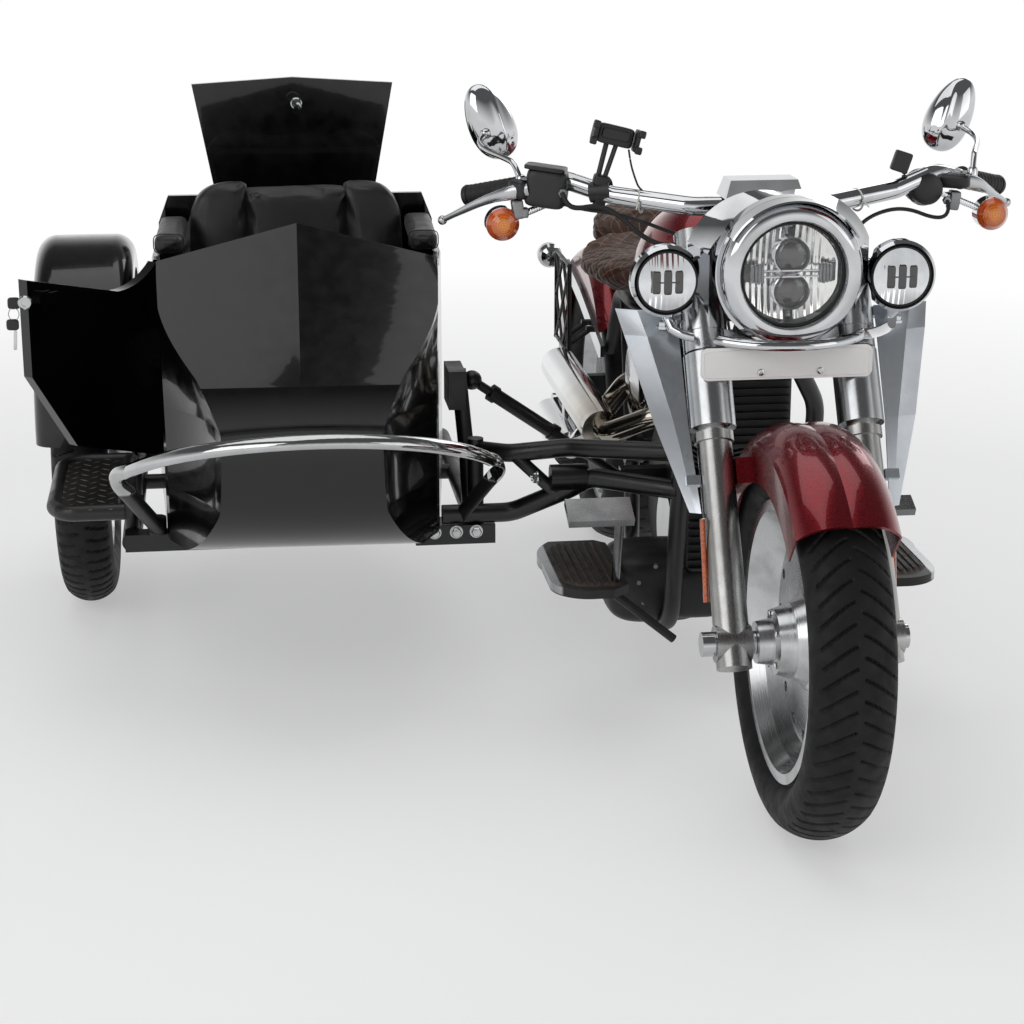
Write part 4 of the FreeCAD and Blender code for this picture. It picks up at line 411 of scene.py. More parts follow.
def signalFinish():
    # amber acrylic lens with moulded rings in front, with a painted glow at its middle, chrome cup and stalk
    # behind it
    material, shader, where = newFinish("amberLensChromeCup", coat=1.0, coatRoughness=0.04, ior=1.49)
    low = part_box("front_signals")[0]
    back = spread(axisPart(where, "Y"), low[1] + 0.0165, low[1] + 0.018)
    radius = foldedFrom(where, (0.436, 0, low[2] + 0.029))
    rings = ripple(radius, 0.00418879)
    # painted glow: the lens is painted light orange at its middle and deeper amber toward its rim, as if lit
    # from the cup behind
    glow = blend(spread(radius, 0.002, 0.024), "#ff9a1f", "#c94c02")
    glow = blend(spread(rings, -1, 1, 0.0, 0.35), glow, "#7a2600")
    dress(shader, colour=blend(back, glow, "#dfe1e3"), metallic=back, roughness=between(back, 0.2, 0.07))
    bumped(shader, rings, 0.25, 0.5)
    return material


def stepFinish():
    # black tube loop round an aluminium tread plate, rolled with raised bars that lean both ways
    material, shader, where = newFinish("treadPlateInBlackLoop", ior=1.5)
    z = axisPart(where, "Z")
    inside = calc("MULTIPLY", spread(z, 0.4030, 0.4034), spread(z, 0.4041, 0.4046, 1.0, 0.0))
    leaning = addNode(where, "Mapping", {0: where, "Rotation": (0, 0, math.radians(45))}).outputs[0]
    scaled = addNode(where, "VectorMath", {0: leaning, "Scale": 1000 / 26}, operation="SCALE").outputs[0]
    cell = addNode(where, "TexChecker", {0: scaled, "Color1": "#ffffff", "Color2": "#000000",
                                         "Scale": 1.0}).outputs["Fac"]
    part = vectorCalc("FRACTION", scaled)
    u, v = (calc("ABSOLUTE", calc("SUBTRACT", axisPart(part, axis), 0.5)) for axis in "XY")
    oneWay, otherWay = (calc("ADD", calc("MULTIPLY", u, a), calc("MULTIPLY", v, b))
                        for a, b in ((1.0, 4.2), (4.2, 1.0)))
    shape = addNode(where, "Mix", {0: cell, 2: oneWay, 3: otherWay}, data_type="FLOAT").outputs[0]
    bar = calc("MULTIPLY", spread(shape, 0.34, 0.52, 1.0, 0.0), inside)
    grime = grainOf(where, 30, 6.0)
    plate = blend(bar, blend(grime, "#4f4d4a", "#2f2d2b"), "#9a9894")
    dress(shader, colour=blend(inside, "#121213", plate), metallic=calc("MULTIPLY", inside, 0.85),
          roughness=spread(grime, low=0.3, high=0.5))
    bumped(shader, bar, 2.0, 1.0)
    return material


def beltFinish():
    # toothed drive belt: ribbed rubber with teeth every 14 mm
    material, shader, where = newFinish("toothedBeltRubber", roughness=0.6, ior=1.45)
    dress(shader, colour=blend(grainOf(where, 12, 4.0), "#131313", "#232221"))
    bumped(shader, ripple(axisPart(where, "Y"), 0.014), 1.0, 0.8)
    return material


def exhaustFinish():
    # chromed exhaust: straw heat colours close to the heads, bright silencers behind
    material, shader, where = newFinish("chromeExhaust", metallic=1.0)
    away = awayFrom(where, place(-100, 790, 540))
    heat = calc("ADD", away, calc("MULTIPLY", grainOf(where, 30, 3.0), 0.05))
    ramp = addNode(where, "ValToRGB", {0: heat})
    stops = ramp.color_ramp.elements
    tints = {0.13: "#8d8375", 0.19: "#b5b0a6", 0.26: "#cfcecb", 0.36: "#dfe0e1"}
    for position in list(tints)[1:-1]:
        stops.new(position)
    for stop, (position, colour) in zip(stops, tints.items()):
        stop.position, stop.color = position, linear(colour)
    dress(shader, colour=ramp.outputs[0], roughness=spread(grainOf(where, 40, 5.0), low=0.05, high=0.18))
    bumped(shader, grainOf(where, 26, 2.0), 0.05, 0.3)
    return material


def padRubber():
    # foot rubber: brown with road dust, black on the crests
    material, shader, where = newFinish("dustyFootRubber", ior=1.45)
    dusty = blend(grainOf(where, 16, 5.0), "#4a3d35", "#2c2521")
    dress(shader, colour=blend(spread(axisPart(where, "Z"), 0.2885, 0.2915), dusty, "#221c19"),
          roughness=spread(grainOf(where, 8, 4.0), low=0.5, high=0.72))
    bumped(shader, grainOf(where, 1.5, 2.0), 0.08, 0.5)
    return material


def reflectorFinish():
    # vacuum-metallised reflector: bright, with soft pressed ribs
    material, shader, where = newFinish("metallisedReflector", metallic=1.0, roughness=0.12)
    dress(shader, colour=blend(grainOf(where, 14, 3.0), "#f8f8f6", "#dddddb"))
    bumped(shader, ripple(axisPart(where, "X"), 0.011), 0.7, 0.7)
    return material


def bowlFinish():
    # metallised bowl of the small lamps: its dish is a bump of height 7.5 * radius squared, with fine ribs
    material, shader, where = newFinish("metallisedBowl", metallic=1.0, roughness=0.1)
    low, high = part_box("auxiliary_lamps")
    radius = foldedFrom(where, ((high[0] - low[0]) / 2 - 0.060, 0, high[2] - 0.060))
    dress(shader, colour=blend(grainOf(where, 14, 3.0), "#eceef0", "#b4b7ba"))
    ribs = calc("MULTIPLY", ripple(sideways(where), 0.009), 0.0003)
    bumped(shader, calc("ADD", calc("MULTIPLY", calc("POWER", radius, 2.0), 7.5), ribs), 1000)
    return material


def clearGlass():
    # pressed lamp glass: thin and clear, so only its shine shows
    material, shader, where = newFinish("lampGlass", colour="#ffffff", roughness=0.02, coat=1.0, ior=1.45,
                                        alpha=0.05)
    bumped(shader, grainOf(where, 18, 1.0), 0.03, 0.3)
    return material


def amberStripFinish():
    # amber reflex reflector: small prisms under clear acrylic
    material, shader, where = newFinish("amberReflexAcrylic", roughness=0.12, coat=1.0, coatRoughness=0.03,
                                        ior=1.49)
    cell = cellsOf(where, 420.0, "Distance")
    dress(shader, colour=blend(spread(cell, 0.1, 0.7), "#e8710c", "#9c3604"))
    bumped(shader, cell, 0.3, 0.5)
    return material


def clearLampFinish():
    # clear ribbed lamp lens on a bright cup
    material, shader, where = newFinish("clearRibbedLens", colour="#dfe3e6", metallic=0.5, roughness=0.1,
                                        coat=1.0, coatRoughness=0.03)
    bumped(shader, ripple(axisPart(where, "Z"), 0.005), 0.4, 0.6)
    return material


# camera, floor and light
view = {"place": (-924.3, -3445.4, 1583.9), "pitch": -16.5, "toward": -7.3, "lens": 81.53, "sensor": 36}
worldStrength = 0.42
# each lamp: where it stands, what it aims at, width and height in metres, watts
lamps = {"keyBox": ((-3.6, -3.4, 3.4), (-0.2, -0.2, 0.6), 4.0, 3.0, 74),
         "topBox": ((-0.4, 0.4, 3.8), (-0.1, 0, 0.4), 3.6, 3.0, 42),
         "fillBox": ((3.6, -3.2, 2.4), (0.1, -0.3, 0.6), 2.4, 2.4, 16),
         "rimBox": ((2.6, 3.4, 2.9), (0, 0.3, 0.7), 2.6, 1.8, 30)}


def addCamera():
    camera = bpy.data.objects.new("camera", bpy.data.cameras.new("camera"))
    camera.location = place(*view["place"])
    camera.rotation_euler = (math.radians(90 + view["pitch"]), 0, math.radians(view["toward"]))
    camera.data.lens, camera.data.sensor_width = view["lens"], view["sensor"]
    scene.collection.objects.link(camera)
    scene.camera = camera
    scene.view_settings.view_transform = "Standard"


def seenDirectly(near):
    # 1 for rays from the camera, from mirrors and through glass
    path = addNode(near, "LightPath").outputs
    some = calc("MAXIMUM", path["Is Camera Ray"], path["Is Glossy Ray"])
    return calc("MAXIMUM", some, path["Is Transmission Ray"])


def addWorld():
    # studio light: pale at the horizon and dim overhead, plain white to the camera
    scene.world = bpy.data.worlds.new("studio")
    scene.world.use_nodes = True
    tree = scene.world.node_tree
    tree.nodes.clear()
    shade = spread(axisPart(addNode(tree, "TexCoord").outputs["Generated"], "Z"), 0.12, 0.55, 1.0, 0.12)
    plain, seen, white = (addNode(tree, "Background", {"Color": colour, "Strength": strength}).outputs[0]
                          for colour, strength in (((0.97, 0.98, 1.0, 1), worldStrength), (shade, 1.0),
                                                   ("#ffffff", 1.0)))
    mirrored = addNode(tree, "MixShader", {0: seenDirectly(tree), 1: plain, 2: seen}).outputs[0]
    camera = addNode(tree, "LightPath").outputs["Is Camera Ray"]
    final = addNode(tree, "MixShader", {0: camera, 1: mirrored, 2: white}).outputs[0]
    addNode(tree, "OutputWorld", {0: final})


def addFloor():
    # pale floor that keeps the shadow and fades to white far out
    material, shader, where = newFinish("studioFloor", colour="#f2f2f2", roughness=0.9, specular=0.1)
    far = spread(awayFrom(where, (0, 0, 0), (1, 1, 0)), 1.9, 4.2)
    glow = addNode(shader, "Emission", {"Color": "#ffffff", "Strength": 1.0}).outputs[0]
    lifted = calc("MULTIPLY", seenDirectly(shader), between(far, 0.42, 1.0))
    mix = addNode(shader, "MixShader", {0: lifted, 1: shader.outputs[0], 2: glow}).outputs[0]
    setInput(shader.id_data.nodes["Material Output"], 0, mix)
    mesh = bpy.data.meshes.new("floor")
    reach = 60.0
    corners = [(-reach, -reach, 0), (reach, -reach, 0), (reach, reach, 0), (-reach, reach, 0)]
    mesh.from_pydata(corners, [], [(0, 1, 2, 3)])
    mesh.materials.append(material)
    floor = bpy.data.objects.new("floor", mesh)
    scene.collection.objects.link(floor)


def addLamp(name, at, aim, width, height, watts):
    lamp = bpy.data.lights.new(name, "AREA")
    lamp.shape, lamp.size, lamp.size_y, lamp.energy = "RECTANGLE", width, height, watts
    stand = bpy.data.objects.new(name, lamp)
    back = unit(np.subtract(at, aim))
    side = unit(np.cross(upward, back))
    turn = np.column_stack([side, np.cross(back, side), back, at])
    stand.matrix_world = Matrix(np.vstack([turn, [0, 0, 0, 1]]).tolist())
    scene.collection.objects.link(stand)


addCamera()
addWorld()
addFloor()
for name, lamp in lamps.items():
    addLamp(name, *lamp)
print("camera, floor and lights set")


# finishes on the CAD nodes; quilting sizes in mm, with the cloth's pressure and frames
padSizes = {"pressure": 4.0, "frames": 20, "quilt": 44, "puff": 4.2, "stitch": 3.2}

# crankshaft in mm from the front axle
crankAt = (0, 790, 262)

# looks: two ends of colour, metallic and roughness
chromeLook = ("#c8cacd", "#a8a7a5", 1.0, 0.08)
alloyLook = ("#b9bbbd", "#98999b", 1.0, 0.26)
castLook = ("#5c5c5d", "#3c3b3a", 0.9, 0.42)
blackLook = ("#101011", "#19191a", 0.0, 0.42)
wrinkledLook = ("#2a2a2b", "#1a1a1a", 0.7, 0.5)
boardLook = ("#3a3938", "#272625", 0.6, 0.48)
redLensLook = ("#7d0509", "#5a0306", 0.0, 0.12)


def headMask(where):
    # chrome heads above the barrels: away from the crankshaft's line
    return spread(awayFrom(where, place(*crankAt), (0, 1, 1)), 0.284, 0.287)


def coverMask(where):
    # polished covers that stand off the sides of the crankcase
    return spread(sideways(where), 0.0635, 0.0655)


def footMask(where):
    # the hoop's two feet wear black paint
    return spread(axisPart(where, "Z"), 0.470, 0.474, 1.0, 0.0)


def baseMask(where):
    # chrome base ahead of the red lens
    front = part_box("tail_lamp")[0][1]
    return spread(axisPart(where, "Y"), front + 0.030, front + 0.032, 1.0, 0.0)


def edgeMask(where):
    # buffed outer edge of the cast boards
    return calc("MULTIPLY", spread(sideways(where), 0.336, 0.340), spread(axisPart(where, "Z"), 0.270, 0.272))


# black two-pack paint on sheet steel: a deep clear shine with slight orange peel and fine dust
gloss = plainFinish("blackGlossPaint", ("#040405", "#0a0a0b", 90, 5.0, 0.35, 0.75), (0.12, 0.24, 14, 4.0),
                    (7, 1.0, 0.06, 0.35), True, coat=0.55, coatRoughness=0.035, ior=1.45, specular=0.3)
# carbon-black tyre tread: matt, with dry brown dust where it has scrubbed
tyre = plainFinish("tyreRubber", ("#0b0b0c", "#181716", 22, 6.0, 0.42, 0.75), (0.52, 0.74, 12, 4.0),
                   (1.3, 3.0, 0.12, 0.6), ior=1.45, specular=0.35)
# soft black rubber: dull, with a light bloom
rubber = plainFinish("blackRubber", ("#121212", "#201f1e", 18, 5.0), (0.5, 0.7, 9, 4.0),
                     (1.2, 2.0, 0.06, 0.5), ior=1.45)
# blank white registration plate: enamelled steel, a little yellowed toward its edge
plate = plainFinish("whiteEnamelPlate", ("#fbfaf7", "#f0eeea", 60, 4.0, 0.3, 0.7), None, (12, 2.0, 0.05, 0.4),
                    roughness=0.3, coat=0.4, ior=1.5)
# projector lens: thick dark glass bead that shows only its highlights
smoked = plainFinish("smokedProjectorLens", ("#0c0908", "#1e1815", 12, 2.0), roughness=0.03, coat=1.0,
                     coatRoughness=0.02, ior=1.6)
# light guide: grey ribbed acrylic
guide = plainFinish("greyLightGuide", ("#55575a", "#8e9296", 8, 3.0), roughness=0.12, coat=0.6, ior=1.49)
# silvered float glass: flat, bright, a touch dusty
silvered = plainFinish("silveredGlass", ("#eef0f1", "#d7d9da", 30, 5.0), (0.015, 0.05, 24, 4.0), metallic=1.0)
red, chrome, satin, plastic = redPaint(), chromePlate(), satinBlack(), mouldedPlastic()
mirrorChrome = chromePlate("chromeMirrorShells", 0.15)
# bare die-cast zinc: dull grey with a fine grain
zinc = polishedAlloy("dieCastZinc", (1, 1, 1), 0.34, 0.5, "#9b9d9e", "#77797a")
brownLeather = leatherFinish("brownQuiltedLeather", "#4a2f24", "#2e1b13", (0.4, 0.56), 1.0, diamondStitches)
blackLeather = leatherFinish("blackUpholsteryLeather", "#0b0b0c", "#060607", (0.34, 0.5))

nodeFinish = {
    "front_tyre rear_tyre sidecar_tyre": tyre,
    "front_wheel": turnedAlloy("turnedFrontWheel", "front_wheel"),
    "rear_wheel": turnedAlloy("turnedRearWheel", "rear_wheel"),
    "sidecar_wheel": turnedAlloy("turnedSidecarWheel", "sidecar_wheel"),
    "steering_stem": polishedAlloy(),
    "fork_covers": polishedAlloy("brushedForkCovers", (1, 1, 0.1), 0.16, 0.27),
    "fork_legs": polishedAlloy("polishedSliders", (1, 0.3, 0.06), 0.2, 0.36, "#b4b4b3", "#8f8e8c"),
    "front_axle headlamp instrument_cap air_cleaner rear_axle fender_struts sidecar_axle": chrome,
    "headlamp_nacelle": chromePlate("chromeNacelle", 0.15),
    "auxiliary_lamps": chromePlate("chromeLampBar", 0.3),
    "handlebar": chromePlate("chromeHandlebar", 0.35),
    "mirrors": mirrorChrome,
    "front_fender rear_fender fuel_tank": red,
    "number_plate": plate,
    "hand_controls": plastic,
    "front_signals": signalFinish(),
    # brushed aluminium wing with a clear lacquer: fine upright hairlines, cool grey
    "wind_deflectors": polishedAlloy("brushedAluminiumSheet", (1, 1, 0.03), 0.26, 0.40, "#d3d7dc", "#bcc1c7"),
    "bike_frame side_stand swing_arm side_guards seat_base sidecar_frame": satin,
    "engine_case": twoFinishes("castCasePolishedCovers", 2.0, wrinkledLook, chromeLook, coverMask),
    "engine_cylinders": twoFinishes("blackBarrelsChromeHeads", 3.0, castLook, chromeLook, headMask),
    "rider_seat": brownLeather,
    "tail_lamp": twoFinishes("redLensChromeBase", 20.0, redLensLook, chromeLook, baseMask),
    "drive_belt": beltFinish(),
    "exhaust": exhaustFinish(),
    "floorboards": twoFinishes("castBoardBuffedEdge", 2.0, boardLook, alloyLook, edgeMask),
    "foot_pedals": polishedAlloy("scuffedPedalChrome", (1, 1, 0.05), 0.18, 0.34, "#8f9091", "#5d5d5e"),
    "sidecar_tub sidecar_nose sidecar_tail boot_lid sidecar_door sidecar_fender": gloss,
    "seat_cushion seat_backrest arm_pads": blackLeather,
    "sidecar_hoop": twoFinishes("chromeHoopBlackFeet", 30.0, chromeLook, blackLook, footMask),
    "sidecar_step": stepFinish(),
    "sidecar_struts": satinBlack("satinBlackStruts", "#0c0c0d", "#161617", (0.26, 0.4)),
}
for names, finish in nodeFinish.items():
    for node in names.split():
        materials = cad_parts[node].data.materials
        materials.clear()
        materials.append(finish)
print("finishes on", len(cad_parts), "CAD nodes")


# tyres: steps round and across the tread, then in metres the rim's radius and the grooves' pitch, width,
# depth and sweep; start and end are shares of the half width
cutNames = "around", "across", "rim", "pitch", "width", "deep", "sweep", "start", "end"
# the section: bead and shoulder as shares of the half width, the side's widest point as a share of its
# height, crown and lip in metres; the grooves' wall and reach in metres and their fades as shares
tyreShape = {"bead": 0.70, "shoulder": 0.84, "widest": 0.48, "crown": 0.022, "lip": 0.0157, "wall": 0.0016,
             "reach": 0.012, "fadeIn": 0.06, "fadeOut": 0.05}
tyreCuts = {
    "front": (880, 52, 0.2173, 0.0335, 0.0068, 0.0042, 0.040, 0.05, 0.99),
    "rear": (640, 46, 0.2173, 0.044, 0.0080, 0.0042, 0.052, 0.06, 0.98),
    "sidecar": (640, 44, 0.2033, 0.030, 0.0085, 0.0045, 0.012, 0.10, 1.0),
}


def arcPoints(first, via, last, count):
    # points along the circle through three points of a profile
    (ax, ay), (bx, by), (cx, cy) = first, via, last
    a, b, c = (x ** 2 + y ** 2 for x, y in (first, via, last))
    d = 2 * (ax * (by - cy) + bx * (cy - ay) + cx * (ay - by))
    ux = (a * (by - cy) + b * (cy - ay) + c * (ay - by)) / d
    uy = (a * (cx - bx) + b * (ax - cx) + c * (bx - ax)) / d
    start, mid, end = (math.atan2(y - uy, x - ux) for x, y in (first, via, last))
    span = (end - start) % (2 * math.pi)
    if (mid - start) % (2 * math.pi) > span:
        span -= 2 * math.pi
    t = start + np.linspace(0, 1, count) * span
    radius = math.hypot(ax - ux, ay - uy)
    return np.stack([ux + radius * np.cos(t), uy + radius * np.sin(t)], -1)


def addTyre(wheel, cut):
    # the node's own section turned round the axle, with grooves pressed in along its normal:
    # a groove lies where (angle * radius + sweep * |x|^1.4) modulo the pitch is within half its width
    node = wheel + "_tyre"
    low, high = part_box(node)
    outer, half, rim = (high[2] - low[2]) / 2, (high[0] - low[0]) / 2, cut["rim"]
    centre = middleOf(node)
    bead, shoulder, crown = half * tyreShape["bead"], half * tyreShape["shoulder"], outer - tyreShape["crown"]
    lip, middle = rim + tyreShape["lip"], rim + tyreShape["widest"] * (outer - rim)
    side = arcPoints((bead, lip), (half, middle), (shoulder, crown), 12)[:-1]
    tread = arcPoints((shoulder, crown), (0, outer), (-shoulder, crown), cut["across"])
    foot = np.array([(bead * 0.5, rim), (bead, rim)])
    profile = np.concatenate([foot, side, tread, side[::-1] * (-1, 1), foot[::-1] * (-1, 1)])
    t = circle(cut["around"])
    x, r = profile[:, :1] + 0 * t, profile[:, 1:] + 0 * t
    share = np.abs(x) / shoulder
    pitch = 2 * math.pi * outer / round(2 * math.pi * outer / cut["pitch"])
    along = t * outer + cut["sweep"] * share ** 1.4 + np.where(x > 0, pitch / 2, 0)
    off = np.abs((along + pitch / 2) % pitch - pitch / 2)
    taper = cut["width"] * (0.55 + 0.45 * share) / 2
    groove = np.clip((taper - off) / tyreShape["wall"] + 0.5, 0, 1) * (r > crown - tyreShape["reach"])
    groove *= np.clip((share - cut["start"]) / tyreShape["fadeIn"], 0, 1)
    groove *= np.clip((cut["end"] - share) / tyreShape["fadeOut"] + 1, 0, 1)
    r = r - groove * cut["deep"]
    grid = np.stack([centre[0] + x, centre[1] + r * np.sin(t), centre[2] + r * np.cos(t)], -1)
    piece = addPiece(wheel + "TyreTread", [(grid, True, True)], wheel + "_wheel", tyre, smooth=28)
    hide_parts(node)


for wheel, sizes in tyreCuts.items():
    addTyre(wheel, dict(zip(cutNames, sizes)))
print("tyres cut")


# headlamp and auxiliary lamps: radii, and how far each projector stands from the middle, in mm
lampParts = {"ring": 115, "lens": 84, "projector": 27.5, "spread": 29, "small": 60}
glass, reflector = clearGlass(), reflectorFinish()


def addHeadlamp():
    # chrome ring and shell by the node's own section, opened into a bowl behind the glass
    low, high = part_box("headlamp")
    front = np.array([(low[0] + high[0]) / 2, low[1], (low[2] + high[2]) / 2])
    ring, lens, size = lampParts["ring"], lampParts["lens"], lampParts["projector"]
    bowl = [(60, 0), (60, lens * 0.62), (46, lens * 0.9), (22, lens - 1), (14, lens + 1), (8, lens + 2),
            (3, lens + 4)]
    rim = [tuple(p) for p in arcPoints((0, lens + 6), (2, ring - 8), (30, ring), 12)]
    back = [(56, ring), (66, ring - 10), (96, ring - 34), (116, ring - 72), (122, 0)]
    seam = boxGrid(front + [0, 0.013, -0.1025], (3, 22, 16), 0.3)
    piece = addPiece("headlampShell", [turnedGrid(bowl + rim + back, front, rearward, 128), seam], "steering",
                     chrome, smooth=40)
    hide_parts("headlamp")
    bead = [(13, lens - 2.5), (9.5, lens - 1.5), (9, lens + 1), (12, lens + 2.5)]
    addPiece("headlampGasket", [turnedGrid(bead, front, rearward, 128, True)], "steering", rubber)
    cup = [(59, 30.5), (24, 31.5), (19, 31), (18, 29.2), (21, size + 0.4), (40, size - 3), (58, size - 3)]
    dome = np.linspace(0, np.pi / 2, 12)
    bulge = np.stack([30 - 13 * np.cos(dome), size * np.sin(dome)], -1).tolist() + [(44, size - 1), (44, 0)]
    cups, lenses = ([turnedGrid(profile, front + [0, 0, sign * lampParts["spread"] / 1000], rearward)
                     for sign in (1, -1)] for profile in (cup, bulge))
    addPiece("projectorCups", cups, "steering", chrome)
    addPiece("projectorLenses", lenses, "steering", smoked)
    # reflector leaves and light guides beside the projectors, and a bright bar across the middle
    leaves, guides = [], []
    u, v = np.linspace(0, 1, 18)[:, None], np.linspace(-1, 1, 26)
    for sign in (1, -1):
        x = sign * (8 + 70 * u) + 0 * v
        z = v * np.sqrt(np.clip((lens - 4) ** 2 - x ** 2, 0, None)) * 0.985
        y = 50 - 27 * (x / lens) ** 2 - 16 * (z / lens) ** 2
        leaves.append((front + np.stack([x, y, z], -1) / 1000, False, False))
        guides += [boxGrid(front + [sign * (0.0485 + 0.0055 * k), 0.024, 0], (4.6, 14, 34 - 2.5 * abs(k - 1)),
                           0.25, steps=12) for k in range(4)]
    addPiece("headlampReflector", leaves, "steering", reflector, recalc=False)
    addPiece("headlampLightGuides", guides, "steering", guide)
    bars = [boxGrid(front + [0, y, z], size, 0.3) for y, z, size in
            ((0.022, 0.005, (118, 5, 3.0)), (0.022, -0.005, (118, 5, 3.0)), (0.030, 0, (26, 10, 12)))]
    addPiece("headlampCrossBars", bars, "steering", chrome)
    dome = np.linspace(0, 1, 14)
    outside = np.stack([6.5 + 5.5 * dome ** 2, dome * (lens - 1)], -1)
    skin = np.concatenate([outside, outside[::-1] + [2.5, 0]])
    addPiece("headlampGlass", [turnedGrid(skin, front, rearward, 96)], "steering", glass)


def addAuxiliaryFaces():
    # each round lamp: a dark bead round a metallised bowl, with a band of upright lenses across it
    low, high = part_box("auxiliary_lamps")
    outer = lampParts["small"]
    u = np.linspace(0, 1, 20)
    bowl = np.stack([-1.6 + 7.5 * u ** 2.2, u * (outer - 12)], -1)
    bead = [(7, outer - 13), (3.4, outer - 12), (3.6, outer - 9.6), (9, outer - 8.6)]
    faces, bands, beads, nuts = [], [], [], []
    for x in (high[0] - outer / 1000, low[0] + outer / 1000):
        centre = np.array([x, place(0, 228, 0)[1], high[2] - outer / 1000])
        faces.append(turnedGrid(bowl, centre, rearward, 96))
        beads.append(turnedGrid(bead, centre, rearward, 96, True))
        bands += [boxGrid(centre + [0.0186 * k, 0.0008 + 0.0009 * abs(k), 0], (14, 7, 41 - 3 * abs(k)), 0.3,
                          steps=12) for k in (-1, 0, 1)]
        bands.append(boxGrid(centre + [0, 0.0016, 0], (46, 7, 2.6), 0.2, steps=8))
        # stud and nut that hold the lamp on its bar
        nuts += [hexGrid(centre + [0, 0.030, -0.078], upward, 17, 8),
                 discGrid(centre + [0, 0.030, -0.078], upward, 12, -4, 0)]
    addPiece("auxiliaryReflectors", faces, "steering", bowlFinish())
    addPiece("auxiliaryLensBars", bands, "steering", smoked)
    addPiece("auxiliaryGaskets", beads, "steering", rubber)
    addPiece("auxiliaryStuds", nuts, "steering", chrome)


addHeadlamp()
addAuxiliaryFaces()
print("lamps glazed")


# plate, pads and bolts
def addPlateDetails():
    # two screws, and a pressed bead round the plate's edge: a rounded rectangle carried as a thin tube
    low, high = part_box("number_plate")
    front, middle = low[1], middleOf("number_plate")
    screw = [(-2.2, 0), (-2.2, 2.4), (-3.0, 2.4), (-3.0, 4.0), (-2.2, 5.6), (0.6, 6.2), (0.6, 0)]
    screws = [turnedGrid(screw, (bikeX + across, front, low[2] + 0.012), rearward, 24)
              for across in (-0.0475, 0.0525)]
    addPiece("plateScrews", screws, "steering", chrome)
    t = circle(160)
    a, b, power = (high[0] - low[0]) / 2 - 0.0045, (high[2] - low[2]) / 2 - 0.0045, 0.16
    edge = np.stack([middle[0] + a * squared(np.cos(t), power), np.full_like(t, front + 0.0002),
                     middle[2] + b * squared(np.sin(t), power)], -1)
    bead = tubeGrid(np.concatenate([edge, edge[:1]]), 1.1, 8)
    addPiece("plateBead", [bead], "steering", plate)


def addBoardPads():
    # ribbed rubber pad on each board: height = base + ribs along the foot, edges rolled down
    pads = []
    u, v = np.linspace(0, 1, 60)[:, None], np.linspace(0, 1, 132)
    across = 230 + 108 * v + 0 * u
    y0 = 418 + 42 * np.clip((across - 290) / 48, 0, 1) ** 2
    y1 = 684 - 46 * np.clip((across - 296) / 42, 0, 1) ** 2
    rib = np.clip(np.cos(2 * np.pi * (across - 230) / 13.5) * 2.2 + 0.6, 0, 1)
    edge = np.clip(np.minimum(np.minimum(u, 1 - u) / 0.05, np.minimum(v, 1 - v) / 0.035), 0, 1)
    height = 285.2 + edge * (3.2 + 3.4 * rib * np.clip((edge - 0.5) * 2, 0, 1))
    for sign in (1, -1):
        pads += [(place(sign * across, y0 + (y1 - y0) * u, z), False, False) for z in (height, 285.1)]
    addPiece("boardPads", pads, "chassis", padRubber(), smooth=50, recalc=False)


def addBolts():
    # bolt heads that show on the frame, and the disc studs that ride on the front wheel
    heads, flats, height = [], 17, 9
    for at, axis in (((-468, 638, 330), forward), ((-505, 638, 330), forward), ((-545, 638, 330), forward),
                     ((-360, 596, 440), (-1, 0, 0))):
        heads += [hexGrid(place(*at), axis, flats, height),
                  discGrid(place(*at), axis, flats * 0.72, -1, 1.4),
                  discGrid(place(*at), axis, flats * 0.3, height, height + 3, 20)]
    hub, studs = middleOf("front_wheel"), []
    for k in range(5):
        angle = 2 * math.pi * k / 5 + 0.3
        at = hub + [-0.0585, 0.046 * math.sin(angle), 0.046 * math.cos(angle)]
        studs.append(hexGrid(at, (-1, 0, 0), 10, 6))
    addPiece("frontHubBolts", studs, "front_wheel", chrome)
    addPiece("frameBolts", heads, "chassis", chrome)


addPlateDetails()
addBoardPads()
addBolts()
print("pads, plate and bolts added")


# cushions, pads and the rider's seat; the sidecar's body is turned by bodyTurn about turnCentre
bodyTurn = math.radians(1.9)
turnCentre = place(sidecarX, 630, 0)


def askew(points):
    # the sidecar's body stands turned on its chassis about an upright line
    c, s = math.cos(bodyTurn), math.sin(bodyTurn)
    x, y = points[..., 0] - turnCentre[0], points[..., 1] - turnCentre[1]
    return np.stack([turnCentre[0] + c * x + s * y, turnCentre[1] - s * x + c * y, points[..., 2]], -1)


